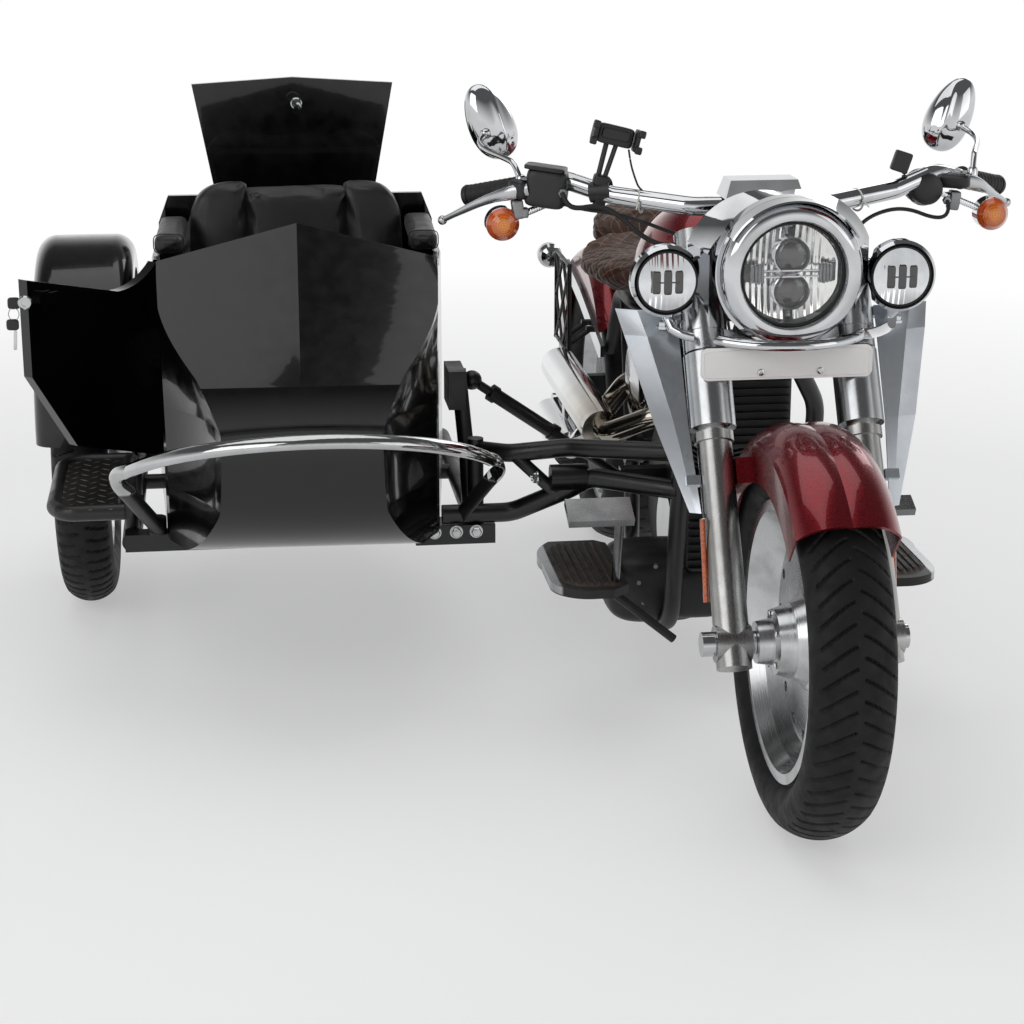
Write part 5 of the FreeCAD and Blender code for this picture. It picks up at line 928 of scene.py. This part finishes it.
def stuffed(grid, cap):
    # cloth pressure swells a grid whose first and last rows are small rings; no point moves past the cap
    rows, columns = grid.shape[:2]
    index = np.arange(rows * columns).reshape(rows, columns)
    mesh = bpy.data.meshes.new("stuffing")
    quads = quadsOf(np.concatenate([index, index[:, :1]], 1)).reshape(-1, 4)
    mesh.from_pydata(grid.reshape(-1, 3), [], quads)
    for ring in (index[0], index[-1]):
        work = bmesh.new()
        work.from_mesh(mesh)
        work.verts.ensure_lookup_table()
        work.faces.new([work.verts[i] for i in ring])
        bmesh.ops.recalc_face_normals(work, faces=work.faces)
        work.to_mesh(mesh)
        work.free()
    pad = bpy.data.objects.new("stuffing", mesh)
    scene.collection.objects.link(pad)
    cloth = pad.modifiers.new("pressure", "CLOTH")
    cloth.settings.quality, cloth.settings.mass = 4, 0.3
    cloth.settings.use_pressure, cloth.settings.uniform_pressure_force = True, padSizes["pressure"]
    cloth.settings.tension_stiffness = cloth.settings.compression_stiffness = 10
    cloth.settings.bending_stiffness = 0.5
    cloth.settings.effector_weights.gravity = 0
    cloth.collision_settings.use_collision = False
    for step in range(1, padSizes["frames"] + 1):
        scene.frame_set(step)
    after = np.empty(rows * columns * 3, np.float32)
    pad.evaluated_get(bpy.context.evaluated_depsgraph_get()).data.vertices.foreach_get("co", after)
    scene.frame_set(1)
    bpy.data.objects.remove(pad)
    bpy.data.meshes.remove(mesh)
    move = after.reshape(grid.shape) - grid
    length = np.linalg.norm(move, axis=2, keepdims=True)
    return grid + move * np.minimum(1, cap / 1000 / np.maximum(length, 1e-9))


def finer(grid, times=3):
    # smooth resampling between rows and round the columns by cubic interpolation
    def cubic(values, closed):
        count = len(values)
        last, steps = (count, count * times) if closed else (count - 1, (count - 1) * times + 1)
        t = np.linspace(0, last, steps, endpoint=not closed)
        i, f = np.floor(t).astype(int), (t % 1)[:, None, None]
        a, b, c, d = (values[(i + k) % count if closed else np.clip(i + k, 0, count - 1)]
                      for k in (-1, 0, 1, 2))
        return b + 0.5 * f * (c - a + f * (2 * a - 5 * b + 4 * c - d + f * (3 * (b - c) + d - a)))
    return cubic(cubic(grid, False).swapaxes(0, 1), True).swapaxes(0, 1)


def outwardOf(grid):
    # unit normals of a closed-column grid, pointing away from its middle line
    normal = np.cross(np.roll(grid, -1, 1) - np.roll(grid, 1, 1), np.gradient(grid, axis=0))
    normal /= np.maximum(np.linalg.norm(normal, axis=2, keepdims=True), 1e-12)
    return normal * np.where((normal * (grid - grid.mean(1, keepdims=True))).sum() > 0, 1, -1)


def closedEnds(grid):
    # first and last rows drawn to a point so the skin is shut
    ends = [row.mean(1, keepdims=True) + 0 * row for row in (grid[:1], grid[-1:])]
    return np.concatenate([ends[0], grid, ends[1]]), False, True


def ringOf(steps, power):
    # superellipse |x|^(2/p) + |y|^(2/p) = 1 as two coordinate rows
    t = circle(steps)
    return squared(np.cos(t), power), squared(np.sin(t), power)


def creased(grid, depthMm, sizeMm, seed):
    # shallow folds: a few sine waves crossing the skin, moved along its normals
    spots = np.random.default_rng(seed).uniform(-1, 1, (7, 3))
    phase = np.random.default_rng(seed + 1).uniform(0, 6.28, 7)
    wave = sum(np.sin((grid @ unit(s)) * 2000 * np.pi / sizeMm / (0.6 + 0.15 * k) + phase[k])
               for k, s in enumerate(spots)) / 7
    return grid + outwardOf(grid) * (wave * depthMm / 1000)[..., None]


def panelGrid(x0, x1, low, top, front, back, corner, cornerSide, roll=34):
    # upright panel: plan-view superellipse, rolled at its top, narrower at the rounded outer top corner
    z = np.concatenate([[low, low + 3], np.linspace(low + 12, top - roll, 22),
                        top - roll * (1 - np.sin(np.linspace(0.2, 1.52, 9)))])[:, None]
    cx, cy = ringOf(52, 0.42)
    rounding = np.clip((z - (top - corner)) / corner, 0, 0.999)
    shrink = corner * (1 - np.sqrt(1 - rounding ** 2))
    left, right = x0 + shrink * (cornerSide < 0), x1 - shrink * (cornerSide > 0)
    edge = np.clip((top - z) / roll, 0, 1)
    thin = np.sqrt(np.clip(1 - (1 - edge) ** 2, 0.004, 1)) * np.clip((z - low) / 10 + 0.55, 0, 1)
    y0, y1 = np.interp(z, *front), np.interp(z, *back)
    return place((left + right) / 2 + (right - left) / 2 * cx * np.clip(0.4 + thin, 0, 1),
                 (y0 + y1) / 2 + (y1 - y0) / 2 * cy * thin, z)


def addBackrest():
    # three upright panels sewn side by side; the two outer ones are fuller and rounded at the shoulder
    low, top, corner, shells = 455.5, 876, 78, []
    behind = (454, 846, 880), (1423, 1421, 1404)
    for x0, x1, side, proud in ((-218, -100, -1, 0), (-113, 113, 0, 5), (100, 218, 1, 0)):
        front = (454, 700, 866), np.array((1312, 1338, 1358)) + proud
        base = panelGrid(sidecarX + x0, sidecarX + x1, low, top - proud * 0.4, front, behind, corner, side)
        shells.append(closedEnds(creased(finer(stuffed(askew(base), 9)), 1.3, 90, 5 + side)))
    piece = addPiece("sidecarBackrest", shells, "chassis", blackLeather, smooth=60)
    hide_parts("seat_backrest")


def slabGrid(centre, size, power, crownMm, rows=30, columns=72):
    # lying pad: superellipse rings stacked upward, crowned on top, drawn in at both faces
    level = np.sin(np.linspace(-1, 1, rows) * np.pi / 2)
    shrink = (1 - np.abs(level) ** 5) ** 0.5 * 0.28 + 0.72
    inner = np.concatenate([[0.05, 0.35, 0.6], shrink[1:-1], [0.6, 0.35, 0.05]])[:, None]
    height = np.concatenate([[-1, -1, -1], level[1:-1], [1, 1, 1]])[:, None]
    cx, cy = ringOf(columns, power)
    x, y = inner * cx * size[0] / 2, inner * cy * size[1] / 2
    away = (x / (size[0] / 2)) ** 2 + (y / (size[1] / 2)) ** 2
    z = height * size[2] / 2 - np.where(height > 0.9, crownMm * np.clip(away, 0, 1), 0)
    return place(centre[0] + x, centre[1] + y, centre[2] + z)


def addCushion():
    # box cushion: crowned top and a welt round its upper edge
    x, y, squareness = sidecarX, 1134, 0.30
    base = slabGrid((x, y, 516.5), (366, 318, 116), squareness, 12)
    skin = creased(finer(stuffed(askew(base), 8)), 1.2, 80, 9)
    cx, cy = (np.append(row, row[0]) for row in ringOf(179, squareness))
    welt = askew(place(x + cx * 181, y + cy * 157, 552.5))
    piece = addPiece("sidecarCushion", [closedEnds(skin), tubeGrid(welt, 2.6, 8)], "chassis",
                     blackLeather, smooth=60)
    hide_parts("seat_cushion")


def addArmPads():
    # two arm pads with a rolled front end and a seam round it
    shells = []
    along = np.sort(np.concatenate([1110 + 22 * (1 - np.cos(np.linspace(0.25, 1.57, 8))),
                                    np.linspace(1140, 1362, 26),
                                    1370 - 4 * (1 - np.sin(np.linspace(0.6, 1.5, 4)))]))[:, None]
    size = np.concatenate([np.sin(np.linspace(0.35, 1.57, 8)) * 0.95, np.full(26, 0.95),
                           [0.92, 0.8, 0.5, 0.2]])[:, None]
    cx, cy = ringOf(44, 0.5)
    t = np.linspace(0, 2 * np.pi, 60)
    seamX, seamZ = 29.4 * squared(np.cos(t), 0.5), 19.4 * squared(np.sin(t), 0.5)
    for sign in (1, -1):
        x, z = sidecarX + sign * 252, 791.2
        base = askew(place(x + size * cx * 28.5, along, z + size * cy * 18.5))
        skin = creased(finer(stuffed(base, 3), 2), 0.8, 60, 21 + sign)
        shells += [closedEnds(skin), tubeGrid(askew(place(x + seamX, 1137, z + seamZ)), 1.1, 6)]
    piece = addPiece("sidecarArmPads", shells, "chassis", blackLeather, smooth=60)
    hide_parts("arm_pads")


def seatPart(rows):
    # saddle section carried rearward: (along, half width, underside, top), rounded shut at both ends
    rows = np.array(rows, float)
    s = np.linspace(0, 1, 44)[:, None]
    y = rows[0, 0] + (rows[-1, 0] - rows[0, 0]) * s
    lines = (np.pad(np.interp(y[:, 0], rows[:, 0], column), 4, mode="edge") for column in rows.T[1:])
    half, low, top = (np.convolve(line, np.ones(9) / 9, "valid")[:, None] for line in lines)
    end = np.sqrt(np.clip(1 - (1 - np.clip(np.minimum(s, 1 - s) / 0.10, 0, 1)) ** 2, 0.02, 1)) * 0.82 + 0.18
    cx, cy = ringOf(90, 0.5)
    x = half * end * cx
    dip = np.clip(cy, 0, 1) * (1 - np.cos(np.clip(x / half, -1, 1) * np.pi * 0.9)) * 3
    return place(x, y, (low + top) / 2 + (top - low) / 2 * end * cy - dip)


def addRiderSeat():
    # dished saddle and pillion, quilted on top: puff = |sin| of the two diagonal distances
    base = 696.5
    parts = [seatPart(((908, 92, base + 30, 784), (1040, 176, base + 2, 762), (1180, 196, base + 2, 750),
                       (1250, 182, base + 2, 764), (1286, 152, base + 4, 798))),
             seatPart(((1293, 140, base + 26, 804), (1400, 130, base + 34, 810), (1524, 98, base + 50, 794)))]
    shells, covers = [], []
    for part in parts:
        skin = finer(stuffed(part, 7))
        around = np.linalg.norm(np.roll(skin, -1, 1) - skin, axis=2)
        t = np.concatenate([np.zeros((len(skin), 1)), np.cumsum(around, 1)], 1)
        t = t - t[:, skin.shape[1] // 4][:, None]
        s = skin[:, :1, 1] + 0 * t
        ways = (s + t)[:, :-1], (s - t)[:, :-1]
        puff = np.prod([np.abs(np.sin(way * np.pi * 1000 / padSizes["quilt"])) for way in ways], axis=0)
        skin = skin + outwardOf(skin) * (np.sqrt(puff) * padSizes["puff"] / 1000 - 0.002)[..., None]
        shells.append(closedEnds(skin))
        cover = np.stack([s, t], -1)
        covers.append(np.concatenate([cover[:1], cover, cover[-1:]]))
    piece = addPiece("quiltedSeat", shells, "chassis", brownLeather, smooth=60,
                     covers=covers)
    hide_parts("rider_seat")


addBackrest()
addCushion()
addArmPads()
addRiderSeat()
print("cushions and seat stuffed")


# handlebar controls, mirrors, hoses and small parts
mirrorSize = {"half": 41, "tall": 71, "deep": 40, "egg": 0.16, "lean": 24, "swing": 10, "ridge": 5.0,
              "ridgeWide": 7.0, "spread": 429, "back": 740, "height": 1071}


def turnRound(axis, degrees):
    # turning matrix about one of the three axes
    c, s = math.cos(math.radians(degrees)), math.sin(math.radians(degrees))
    return np.array({"X": [[1, 0, 0], [0, c, -s], [0, s, c]], "Y": [[c, 0, s], [0, 1, 0], [-s, 0, c]],
                     "Z": [[c, -s, 0], [s, c, 0], [0, 0, 1]]}[axis])


def blocksOf(rows):
    # rounded blocks: place, size, squareness, turn and steps
    return [boxGrid(place(*at), size, power, turn, steps) for at, size, power, turn, steps in rows]


def gripGrids():
    # ribbed rubber grips and their end caps
    cap = [(188, 0), (188, 18.6), (192, 19.2), (197, 17), (199, 11), (199.5, 0)]
    grips, caps = [], []
    for sign in (1, -1):
        start, end = place(sign * 330, 505, 999), place(sign * 480, 612, 958)
        run = unit(end - start)
        s = np.linspace(0, 1, 70)
        radius = 17.2 + 1.2 * np.abs(np.sin(s * np.pi * 11)) ** 0.6 + 2.6 * (s < 0.03)
        profile = [(78, 16.1)] + list(zip(78 + s * 110, radius)) + [(189, 16.1)]
        grips.append(turnedGrid(profile, start, run, 40))
        caps.append(turnedGrid(cap, start, run, 40))
    return grips, caps


def addControls():
    black = mouldedPlastic("glassFilledNylon", "#0f0f10", "#1a1a1b")
    grips, caps = gripGrids()
    lean = turnRound("Y", 7) @ turnRound("Z", -16)
    drum = place(311, 506, 973)
    # brake side: reservoir with its flat lid and a clamp; clutch side: round switch drum with its clamp
    housing = caps + blocksOf([((-358, 500, 986), (72, 60, 68), 0.36, lean, 30),
                               ((-395, 505, 984), (56, 40, 34), 0.42, turnRound("Z", 35), 24)])
    housing += [turnedGrid(profile, drum, rearward, 48) for profile in
                ([(-34, 0), (-34, 20), (-30, 27), (-12, 30), (22, 30), (30, 26), (32, 0)],
                 [(-8, 30.4), (-8, 31.6), (-3, 31.6), (-3, 30.4)])]
    housing += blocksOf([((358, 502, 985), (74, 34, 26), 0.42, turnRound("Z", -32), 24),
                         ((262, 480, 1022), (31, 13, 36), 0.20, turnRound("Y", 18), 16)])
    arm = [place(268, 482, 1008), place(272, 480, 996), place(262, 474, 985)]
    housing.append(tubeGrid(bentLine(arm, 8), 5, 10))
    piece = addPiece("switchHousings", housing, "steering", black, smooth=40)
    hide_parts("hand_controls")
    lid = blocksOf([((-360, 500, 1020), (71, 58, 8), 0.26, lean, 24)])
    addPiece("reservoirLid", lid, "steering", satin, smooth=40)
    addPiece("handGrips", grips, "steering", rubber, smooth=50)
    # levers: a flattened blade that narrows to a ball end
    blades = []
    for route in (((-393, 482, 986), (-425, 492, 979), (-462, 530, 962), (-495, 575, 938), (-528, 616, 914)),
                  ((372, 482, 988), (408, 494, 979), (440, 530, 962), (470, 575, 944), (502, 612, 926))):
        path = bentLine([place(*p) for p in route], 36)
        s = np.linspace(0, 1, len(path))
        tall = np.interp(s, (0, 0.15, 0.35, 0.8, 0.92, 1), (11, 13, 9.5, 6.5, 5.2, 5.2))
        blades.append(tubeGrid(path, np.interp(s, (0, 0.2, 0.5, 1), (6.5, 7, 5, 4.5)), 18, tall=tall))
        blades.append(boxGrid(place(*route[-1]), (17, 17, 17), 1.0, steps=14))
    bright = polishedAlloy("polishedLever", low=0.2, high=0.32)
    addPiece("leverBlades", blades, "steering", bright, smooth=50)
    # cast switch blocks under the perches, pivot screws and the banjo bolt of the brake hose
    screw = [(0, 0), (0, 6), (3, 6), (3.6, 0)]
    blocks = blocksOf([((-409, 500, 950), (20, 26, 34), 0.3, turnRound("Y", -8), 14),
                       ((-398, 496, 944), (14, 18, 18), 0.4, None, 12),
                       ((366, 500, 950), (19, 24, 34), 0.3, turnRound("Y", 8), 14)])
    blocks += [hexGrid(place(-337, 466, 981), forward, 15, 7),
               discGrid(place(-337, 466, 981), forward, 8.5, -9, 0, 24),
               hexGrid(place(343, 470, 955), forward, 13, 8),
               turnedGrid(screw, place(-398, 488, 1002), upward, 20),
               turnedGrid(screw, place(378, 488, 1000), upward, 20)]
    addPiece("switchBlocks", blocks, "steering", zinc, smooth=40)


def addPhoneCradle():
    # clamp on the bar, forked stem, tilted back plate with four claws
    black = mouldedPlastic("matBlackAbs", "#101011", "#1c1c1d")
    lean = turnRound("Y", 14)
    middle, foot = place(-244, 476, 1076), place(-268, 474, 1000)
    parts = [boxGrid(middle, (62, 14, 34), 0.25, lean, 20),
             boxGrid(middle + [0, -0.009, 0.002], (50, 8, 18), 0.3, lean, 16)]
    for side in (-1, 1):
        tip = middle + lean @ np.array([side * 0.037, -0.006, 0])
        parts.append(boxGrid(tip, (9, 30, 38), 0.35, lean, 16))
        parts += [boxGrid(tip + lean @ np.array([side * 0.003, -0.020, z]), (12, 9, 13), 0.4, lean, 12)
                  for z in (0.014, -0.014)]
    for side in (-1, 1):
        line = np.linspace(foot + [side * 0.006, 0, 0.006], middle + [side * 0.009 - 0.006, 0.002, -0.012], 8)
        parts.append(tubeGrid(line, 4.6, 10, tall=4.2))
    parts += blocksOf([((-268, 474, 1000), (28, 26, 20), 0.35, lean, 16),
                       ((-270, 476, 966), (20, 22, 26), 0.35, lean, 16)])
    clamp = [(-18, 19.5), (18, 19.5), (18, 17), (-18, 17), (-18, 19.5)]
    parts.append(turnedGrid(clamp, place(-268, 478, 982), (0.9, -0.37, 0.1), 32))
    addPiece("phoneCradle", parts, "steering", black, smooth=40)


def mirrorShell(sign):
    # egg-shaped chrome shell: rim radius by angle, bulged forward as a cosine with a crease, glass behind
    half, tall, deep = mirrorSize["half"], mirrorSize["tall"], mirrorSize["deep"]
    t = circle(72)
    rimX = half * np.cos(t) * np.abs(np.cos(t)) ** -0.08 / (1 + mirrorSize["egg"] * np.sin(t))
    rimZ = tall * np.sin(t)
    phi = np.concatenate([np.linspace(0.02, 1.45, 22), [1.5708]])[:, None]
    bulge = np.clip(np.cos(phi), 0, 1)
    x, z = np.sin(phi) * rimX, np.sin(phi) * rimZ
    ridge = np.exp(-((x - 12 - 0.16 * z) / mirrorSize["ridgeWide"]) ** 2) * mirrorSize["ridge"] * bulge
    y = -bulge ** 0.8 * deep * 0.8 * (1 - 0.28 * z / tall) - ridge
    outer = np.stack([x, y, z], -1)
    rims = (0, y[0].mean(), 0), (0.985, 7, 0.985), (0.90, 4, 0.92), (0, 4, 0)
    first, lip, inside, pole = (np.stack([rimX * wide, back + 0 * t, rimZ * high], -1)[None]
                                for wide, back, high in rims)
    turn = turnRound("Y", sign * mirrorSize["lean"]) @ turnRound("Z", -sign * mirrorSize["swing"])
    centre = place(sign * mirrorSize["spread"], mirrorSize["back"], mirrorSize["height"])
    flip = np.array([-sign, 1, 1])
    return [(centre + (np.concatenate(rings) * flip @ turn.T) / 1000, False, True)
            for rings in ((first, outer, lip, inside), (inside, pole))]


def addMirrors():
    shells, glasses, stalks = [], [], []
    for sign in (1, -1):
        shell, face = mirrorShell(sign)
        shells.append(shell)
        glasses.append(face)
        route = ((402, 512, 992), (408, 528, 1022), (420, 560, 1028), (452, 640, 1034), (456, 690, 1044),
                 (440, 706, 1052))
        foot = [(-6, 0), (-6, 9), (10, 9), (14, 6.5), (14, 0)]
        stalks += [tubeGrid(bentLine([place(sign * x, y, z) for x, y, z in route], 44), 5.4, 16),
                   turnedGrid(foot, place(sign * 402, 512, 992), upward, 24),
                   boxGrid(place(sign * 440, 712, 1053), (20, 26, 20), 0.8, steps=14)]
    piece = addPiece("mirrorShells", shells, "steering", mirrorChrome, smooth=50)
    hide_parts("mirrors")
    addPiece("mirrorStalks", stalks, "steering", mirrorChrome, smooth=50)
    addPiece("mirrorGlass", glasses, "steering", silvered, recalc=False)


# brake hose and control cables, held at both ends, running down behind the nacelle: route and radius
hoses = {
    "brakeHose": (((-337, 458, 981), (-334, 447, 967), (-318, 440, 957), (-277, 438, 964), (-240, 420, 945),
                   (-205, 400, 910), (-160, 384, 897), (-120, 392, 905)), 4.4),
    "clutchCable": (((343, 462, 955), (345, 450, 935), (320, 446, 925), (262, 452, 948), (200, 430, 940),
                     (160, 405, 915), (125, 400, 905)), 3.4),
    "throttleCable": (((-330, 490, 958), (-300, 492, 948), (-250, 470, 945), (-205, 440, 935),
                       (-150, 420, 915), (-115, 415, 905)), 3.2),
    "cradleLead": (((-221, 474, 1052), (-219, 468, 1030), (-212, 458, 1004), (-205, 452, 986),
                    (-190, 440, 978)), 1.7),
}


def addHoses():
    for name, (route, radius) in hoses.items():
        path = bentLine([place(*p) for p in route], 64)
        addPiece(name, [tubeGrid(path, radius)], "steering", rubber, smooth=60)
    ties = []
    for at, way in ((place(-203, 449, 966), (0.9, -0.4, 0.05)), (place(172, 436, 964), (0.9, 0.4, 0.05))):
        first, second = acrossAxis(way)
        t = circle(40, True)[:, None]
        head = at + 0.020 * first
        ties += [tubeGrid(at + 0.0185 * (np.cos(t) * first + np.sin(t) * second), 1.5, 8, tall=1.9),
                 boxGrid(head, (6, 5, 5), 0.4, steps=10),
                 tubeGrid(np.linspace(head, at + 0.034 * first + [0, 0, -0.008], 6), 1.3, 6)]
    nylon = mouldedPlastic("naturalNylonTie", "#d9d8d2", "#c9c8c1")
    addPiece("cableTies", ties, "steering", nylon)


def addReflectorsAndLocks():
    # reflector strips at the outer side of each slider, down its slope
    strips, backs = [], []
    for sign in (1, -1):
        line = np.linspace(place(sign * 159, 95, 503), place(sign * 157, 60, 372), 30)
        strips.append(tubeGrid(line, 4.6, 12, tall=7.5))
        backs.append(tubeGrid(line + [-sign * 0.004, 0.005, 0], 5.6, 12, tall=8.8))
    addPiece("forkReflectors", strips, "steering", amberStripFinish(), smooth=50)
    addPiece("forkReflectorBacks", backs, "steering", chrome, smooth=50)
    # lock barrels of door and lid, with the two keys left in the door
    barrel = [(-3, 0), (-3, 10.5), (0, 12.5), (4, 12.5), (6, 10.5), (6, 6.5), (4.4, 6), (4.4, 0)]
    door, lid = place(-1264, 652, 778), place(-739, 1786, 990)
    addPiece("doorLockFace", [turnedGrid(barrel, door, forward, 40)], "door", chrome)
    flap = boxGrid(lid + [0.006, -0.008, -0.004], (7, 4, 14), 0.4, turnRound("Y", -30), 12)
    addPiece("lidLockFace", [turnedGrid(barrel, lid, forward, 40), flap], "boot_lid", chrome)
    keys = [boxGrid(door + [-0.020, 0.004, -0.002], (22, 9, 21), 0.5, steps=16),
            boxGrid(door + [-0.024, 0.002, -0.040], (22, 8, 20), 0.5, steps=16)]
    t = circle(40, True)[:, None]
    ring = door + [-0.021, 0.001, -0.021] + np.hstack([0.009 * np.cos(t), 0 * t, 0.011 * np.sin(t)])
    blade = [boxGrid(door + [-0.021, 0.002, -0.068], (6, 2, 36), 0.3, turnRound("Y", 4), 12),
             tubeGrid(ring, 0.9, 8)]
    addPiece("keyHeads", keys, "door", plastic, smooth=50)
    addPiece("keyBlades", blade, "door", chrome, smooth=50)


def addFenderLamp():
    # round marker lamp on the outer side of the sidecar's fender
    low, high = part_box("sidecar_fender")
    lens = turnedGrid([(-2, 0), (-2, 15), (3, 15), (6, 12), (8, 6), (8.5, 0)],
                      (low[0] + 0.002, high[1] - 0.38, 0.468), (-1, 0, 0), 40)
    addPiece("fenderLampLens", [lens], "chassis", clearLampFinish())


def addSumpCastings():
    # dark finned castings ahead of the crankcase, seen between the frame's down tubes
    dark = satinBlack("oiledBlackCasting", "#0b0b0c", "#191817", (0.38, 0.6))
    parts = blocksOf([((-128, 668, 214), (196, 190, 138), 0.55, None, 30),
                      ((11, 572, 600), (180, 34, 214), 0.2, None, 20),
                      ((-62, 640, 214), (120, 160, 110), 0.45, None, 24),
                      ((-40, 590, 330), (96, 60, 150), 0.25, None, 20)]
                     + [((-40, 556, 268 + 15 * k), (92, 12, 3.2), 0.3, None, 8) for k in range(9)]
                     + [((11, 552, 504 + 14.6 * k), (176, 12, 2.6), 0.3, None, 8) for k in range(14)])
    addPiece("sumpCastings", parts, "chassis", dark, smooth=45)
    bolts = [hexGrid(place(-118 + 56 * math.cos(a), 580, 226 + 46 * math.sin(a)), forward, 9, 6)
             for a in circle(7) + 0.2]
    addPiece("sumpBolts", bolts, "chassis", zinc)


def addSilencerEnds():
    # rolled lip, and a dark disc on the closed rear face of each silencer: painted shade of the open bore,
    # with soot
    ends = place(-213, 1320, 483), place(-226, 1350, 366)
    lip = [(-3, 31), (2, 31), (3.4, 34), (2, 37), (-3, 37)]
    lips = [turnedGrid(lip, at, rearward, 64, True) for at in ends]
    bores = [turnedGrid([(0.6, 31.4), (0.6, 20), (0.6, 1)], at, rearward, 48) for at in ends]
    addPiece("silencerLips", lips, "chassis", chrome)
    # dark discs: painted shade inside the open bores, together with real soot
    addPiece("silencerBores", bores, "chassis",
             satinBlack("sootAndShadeBore", "#070706", "#14110e", (0.7, 0.9)))


addControls()
addPhoneCradle()
addMirrors()
addHoses()
addReflectorsAndLocks()
addFenderLamp()
addSumpCastings()
addSilencerEnds()
print("controls, mirrors, hoses, locks and castings added")
